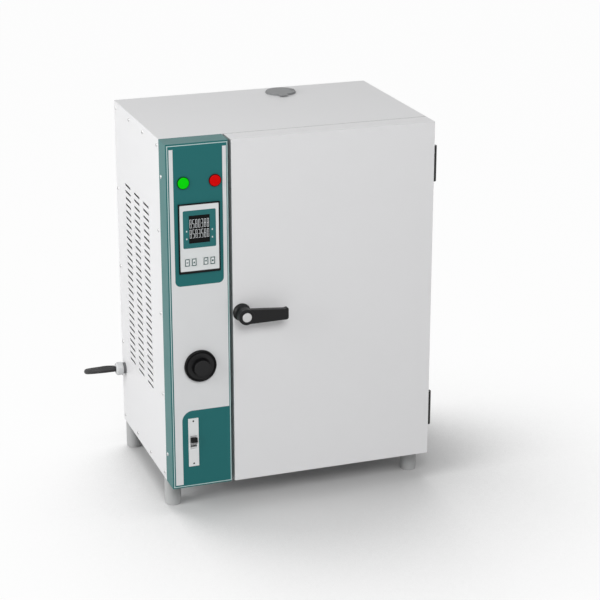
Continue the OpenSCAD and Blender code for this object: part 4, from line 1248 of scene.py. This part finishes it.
@dataclass
class ControlHousing:
    """The teal housing with its printed fascia, lamps, controller, thermostat and breaker.

    Attributes:
        teal: Print colour of the dark zones.
        grey: Print colour of the light field.
        silver: Print colour of the border line.
        white: Print colour of the controller's face.
        black: Print colour of that face's rim.
    """

    teal: tuple[float, float, float] = (31, 101, 102)
    grey: tuple[float, float, float] = (216, 217, 218)
    silver: tuple[float, float, float] = (186, 206, 205)
    white: tuple[float, float, float] = (216, 219, 219)
    black: tuple[float, float, float] = (18, 20, 21)

    def shell(self) -> None:
        """Makes the folded housing and the fascia plate with its print."""
        eased("control_housing", "housing_folded", TEAL_PAINT, 0.6 * MM, segments=3)
        fascia = Finish("fascia_print", self.teal, 0.45, scale=2600, relief=0.05, tone=0.03,
                        shine=0.2)
        base = box_of("control_housing")[0].z / MM
        west, east, under, over = -300.0, -100.0, -20.0, 620.0
        ZonePrint.material(fascia, [
            Zone(left, right, base + low, base + high, radius, colour)
            for left, right, low, high, radius, colour in (
                (-239.5, -138.1, 2.2, 597.6, 1.0, self.silver),
                (-238.2, -139.4, 3.5, 596.3, 0.6, self.teal),
                (-236.2, -140.6, 6.0, 591.0, 0.3, self.grey),
                (-229.6, -147.0, 360.0, 614.0, 9.0, self.teal),
                (-223.2, -120.0, -16.0, 139.4, 18.5, self.teal),
                (west, -238.2, under, over, 0.0, self.silver),
                (west, -239.5, under, over, 0.0, self.teal),
                (-139.4, east, under, over, 0.0, self.silver),
                (-138.1, east, under, over, 0.0, self.teal),
                (west, east, under, 3.5, 0.0, self.silver),
                (west, east, under, 2.2, 0.0, self.teal),
                (west, east, 596.3, over, 0.0, self.silver),
                (west, east, 597.6, over, 0.0, self.teal))])
        eased("control_fascia", "fascia_sheet", fascia, 0.15 * MM, segments=1)

    def lamps(self) -> None:
        """Makes the two lamps: a flat lens with a rounded rim in a darkened lens colour, painted
        shade round the lens, and the body behind it.
        """
        for node, finish in (("heater_lamp", GREEN_LENS), ("power_lamp", RED_LENS)):
            low, high = box_of(node)
            x, z, radius = (low.x + high.x) / 2, (low.z + high.z) / 2, (high.x - low.x) / 2
            face = box_of("control_fascia")[0].y
            proud = face - low.y
            # Painted shade: the rim is the lens colour darkened and without glow, so the lens
            # shows a dark ring where shade would fall.
            painted_shade_tone = tuple(0.35 * channel for channel in finish.colour)
            rim = replace(finish, name=finish.name + "_rim_painted_shade", colour=painted_shade_tone, glow=0.0)
            lens = radius - 1.2 * MM
            form = Form(rim).turned((x, face, z), Axis.FRONT, [
                (0, 0), (radius, 0), (radius, proud * 0.7), (radius - 0.3 * MM, proud * 0.86),
                (lens, proud * 0.88), (0, proud * 0.88)], 64)
            form.dressed(finish).turned((x, face - proud * 0.5, z), Axis.FRONT, [
                (0, 0), (lens, 0), (lens, proud * 0.36), (lens - 0.4 * MM, proud * 0.46),
                (lens - 1.1 * MM, proud * 0.5), (0, proud * 0.5)], 64)
            form.dressed(BLACK_PLASTIC)
            form.rod((x, face, z), Axis.BACK, 8 * MM, high.y - face, 0.4 * MM)
            form.made(node + "_lens", "casing", node, slot=finish.name)

    def controller(self) -> None:
        """Makes the controller's case, face, display with its digits, and keys."""
        eased("controller_case", "controller_bezel", BLACK_PLASTIC, 0.5 * MM)
        low, high = box_of("display_window")
        x, z = (low.x + high.x) / 2 / MM, (low.z + high.z) / 2 / MM
        face = Finish("controller_print", self.white, 0.45, scale=2600, relief=0.04, tone=0.012,
                      shine=0.3)
        wide, tall, soft = 0.9, 1.3, 0.3
        marks = [Zone(x + side - wide, x + side + wide, z + up - tall, z + up + tall, soft,
                      self.white) for side in (-21.6, 21.8) for up in (-2.5, -15.5)]
        (left, _, floor), (right, _, top) = (corner / MM for corner in box_of("controller_face"))
        past = 5
        ZonePrint.material(face, [
            Zone(left - past, right + past, floor - past, top + past, 0.0, self.black),
            Zone(left + 0.4, right - 0.4, floor + 2.2, top - 0.4, 1.2, self.white),
            Zone(x - 27.6, x + 28.0, z - 31.6, z + 32.2, 2.4, self.teal), *marks])
        eased("controller_face", "controller_face_sheet", face, 0.12 * MM, segments=1,
              slot="white_plastic")
        eased("display_window", "display_pane", DISPLAY, 0.15 * MM, segments=1, slot="display")
        self.digits(low, high)
        for index in range(1, 5):
            self.key(index)

    def digits(self, low: Vector, high: Vector) -> None:
        """Makes two rows of seven-segment digits on the display.

        Args:
            low: Lowest corner of the display.
            high: Its highest corner.
        """
        form, gap = Form(DIGIT), 0.12 * MM
        lit = {"0": "abcdef", "3": "abcdg", "5": "acdfg", "8": "abcdefg"}
        across, tall, stroke = 3.3 * MM, 14.6 * MM, 0.8 * MM
        upper, lower, over, under = "8580388", "8583580", 6.2 * MM, 8.6 * MM
        left = low.x + 0.9 * MM
        pitch = (high.x - low.x - 0.6 * MM) / len(upper)
        for row, text in ((high.z - over - tall, upper), (low.z + under, lower)):
            for place, digit in enumerate(text):
                x0 = left + place * pitch
                x1, mid = x0 + across, row + tall / 2
                top = row + tall
                bars = {"a": (x0, top - stroke, x1, top), "d": (x0, row, x1, row + stroke),
                        "g": (x0, mid - stroke / 2, x1, mid + stroke / 2),
                        "f": (x0, mid, x0 + stroke, top), "e": (x0, row, x0 + stroke, mid),
                        "b": (x1 - stroke, mid, x1, top), "c": (x1 - stroke, row, x1, mid)}
                for name in lit[digit]:
                    a, b, c, d = bars[name]
                    form.box((a + gap, low.y - 0.06 * MM, b + gap),
                             (c - gap, low.y + 0.02 * MM, d - gap))
        form.made("display_digits", "casing", slot="display")

    def key(self, index: int) -> None:
        """Makes one key: a white cap with a printed ring and a mark.

        Args:
            index: The key's number, from the left.
        """
        low, high = box_of(f"key_{index}")
        form = Form(WHITE_PLASTIC).box(low, high, 0.25 * MM, 1.5 * MM, 1)
        ring, inset, printed = 1.3 * MM, 0.2 * MM, 0.05 * MM
        part = bmesh.new()
        bmesh.ops.create_grid(part, x_segments=1, y_segments=1, size=0.5)
        size = (high.x - low.x - 2 * inset, high.z - low.z - 2 * inset, 1)
        bmesh.ops.scale(part, vec=size, verts=part.verts)
        bmesh.ops.bevel(part, geom=part.verts[:], offset=ring, segments=5, profile=0.5,
                        affect="VERTICES", material=-1)
        bmesh.ops.inset_region(part, faces=part.faces[:], thickness=ring, use_boundary=True,
                               use_even_offset=True)
        inner = min(part.faces, key=lambda f: f.calc_center_median().length)
        bmesh.ops.delete(part, geom=[inner], context="FACES_ONLY")
        moved = bmesh.ops.extrude_face_region(part, geom=part.faces[:])["geom"]
        bmesh.ops.translate(part, vec=(0, 0, printed),
                            verts=[g for g in moved if isinstance(g, bmesh.types.BMVert)])
        turn = Matrix.Rotation(math.radians(90), 4, "X")
        middle = Vector(((low.x + high.x) / 2, low.y, (low.z + high.z) / 2))
        bmesh.ops.transform(part, matrix=Matrix.Translation(middle) @ turn, verts=part.verts)
        bmesh.ops.recalc_face_normals(part, faces=part.faces)
        form.dressed(PRINT_TEAL).take(part)
        marks = {1: ((-1.5, -0.8), (1.5, -0.8), (1.5, 0.8), (-1.5, 0.8)),
                 2: ((-1.6, -1.8), (1.6, -1.8), (0, 2.2)), 3: ((-1.6, 1.8), (0, -2.2), (1.6, 1.8)),
                 4: ((-1.3, -1.5), (1.3, -1.5), (1.3, 1.5), (-1.3, 1.5))}
        mark = [(middle.x + a, middle.z + b) for a, b in outline(*marks[index])]
        form.plate(mark, low.y, printed)
        form.made(f"key_cap_{index}", f"key_body_{index}", f"key_{index}", slot="white_plastic")

    def thermostat(self) -> None:
        """Makes the thermostat knob: glossy rim, dished skirt and a raised boss."""
        low, high = box_of("thermostat_knob")
        x, z = (low.x + high.x) / 2, (low.z + high.z) / 2
        gap, boss_top = 0.6 * MM, 15.9 * MM
        back = box_of("control_fascia")[0].y - gap
        rim = outline((3, 0), (27.5, 0), (27.5, 3.4), (27.2, 4.5), (26.4, 5.3), (25.3, 5.5),
                      (24.2, 5.1), (23.4, 4.2), (23.0, 4.0), (3, 4.0), (3, 0))
        wall = outline((3, 3), (15.9, 3), (15.9, 4.65), (15.1, 5.4), (14.4, 14.2), (14.0, 15.2),
                       (3, 15.2), (3, 3))
        skirt = outline((3, 2), (23.2, 2), (23.2, 4.05), (3, 4.5), (3, 2))
        boss = outline((0, 15), (13.9, 15), (13.6, 15.6), (12.7, 16), (0, 16), (0, 15))
        form = Form(BLACK_PLASTIC)
        for profile, finish in ((rim, BLACK_PLASTIC), (wall, BLACK_PLASTIC), (skirt, CHARCOAL),
                                (boss, CHARCOAL)):
            form.dressed(finish).turned((x, back, z), Axis.FRONT, profile, 96)
        start = back - boss_top
        form.dressed(BLACK_PLASTIC)
        form.rod((x, start, z), Axis.BACK, 3 * MM, high.y - start, 0.3 * MM)
        form.made("thermostat_knob_moulded", "thermostat_dial", "thermostat_knob",
                  slot="black_plastic")

    def breaker(self) -> None:
        """Makes the breaker's cover plate with its screws, and the toggle on its paler drum."""
        form = Form(WHITE_PLASTIC).copied("breaker_plate", 0.3 * MM)
        low, high = box_of("breaker_plate")
        x = (low.x + high.x) / 2
        for z in (low.z + 5 * MM, high.z - 5 * MM):
            form.dressed(BLACK_METAL).turned((x, low.y + 0.9 * MM, z), Axis.FRONT, outline(
                (0, 0), (1.55, 0), (1.55, 0.5), (0.8, 0.85), (0, 0.9)), 20)
        form.made("breaker_cover", "casing", "breaker_plate", slot="white_plastic")
        axis_in, drum, lever_long, lever_thick, lever_out, turn = (
            9 * MM, 8.55 * MM, 11 * MM, 8.3 * MM, 11.45 * MM, -23)
        axis = Vector((x, low.y + axis_in, (low.z + high.z) / 2))
        left, right = box_of("breaker_toggle")
        width = right.x - left.x
        form = Form(DRUM_GREY)
        form.rod((left.x, axis.y, axis.z), Axis.RIGHT, drum, width, 0.3 * MM, 64)
        part = bmesh.new()
        bmesh.ops.create_cube(part, size=1.0)
        bmesh.ops.scale(part, vec=(width, lever_long, lever_thick), verts=part.verts)
        bmesh.ops.translate(part, vec=(0, -lever_out, 0), verts=part.verts)
        form.soften(part, 0.7 * MM, 3)
        lean = Matrix.Translation(axis) @ Matrix.Rotation(math.radians(turn), 4, "X")
        bmesh.ops.transform(part, matrix=lean, verts=part.verts)
        form.dressed(BLACK_PLASTIC).take(part)
        form.made("breaker_lever", "breaker_switch", "breaker_toggle", slot="black_plastic")

    def build(self) -> None:
        """Makes the housing and its controls."""
        self.shell()
        self.lamps()
        self.controller()
        self.thermostat()
        self.breaker()


def main() -> None:
    """Builds the scene: camera and lead first, then each sub-assembly, then the lamps and the
    floor.
    """
    logging.basicConfig(level=logging.INFO, format="%(name)s: %(message)s")
    studio = Studio()
    studio.camera()
    MainsLead().build()
    for assembly in (Casing(), Chamber(), Vent(), Hinges(), Door(), ControlHousing()):
        assembly.build()
        log.info("%s done", type(assembly).__name__)
    studio.lights()
    studio.floor()
    bpy.context.scene.view_settings.view_transform = "Standard"


if __name__ == "__main__":
    main()
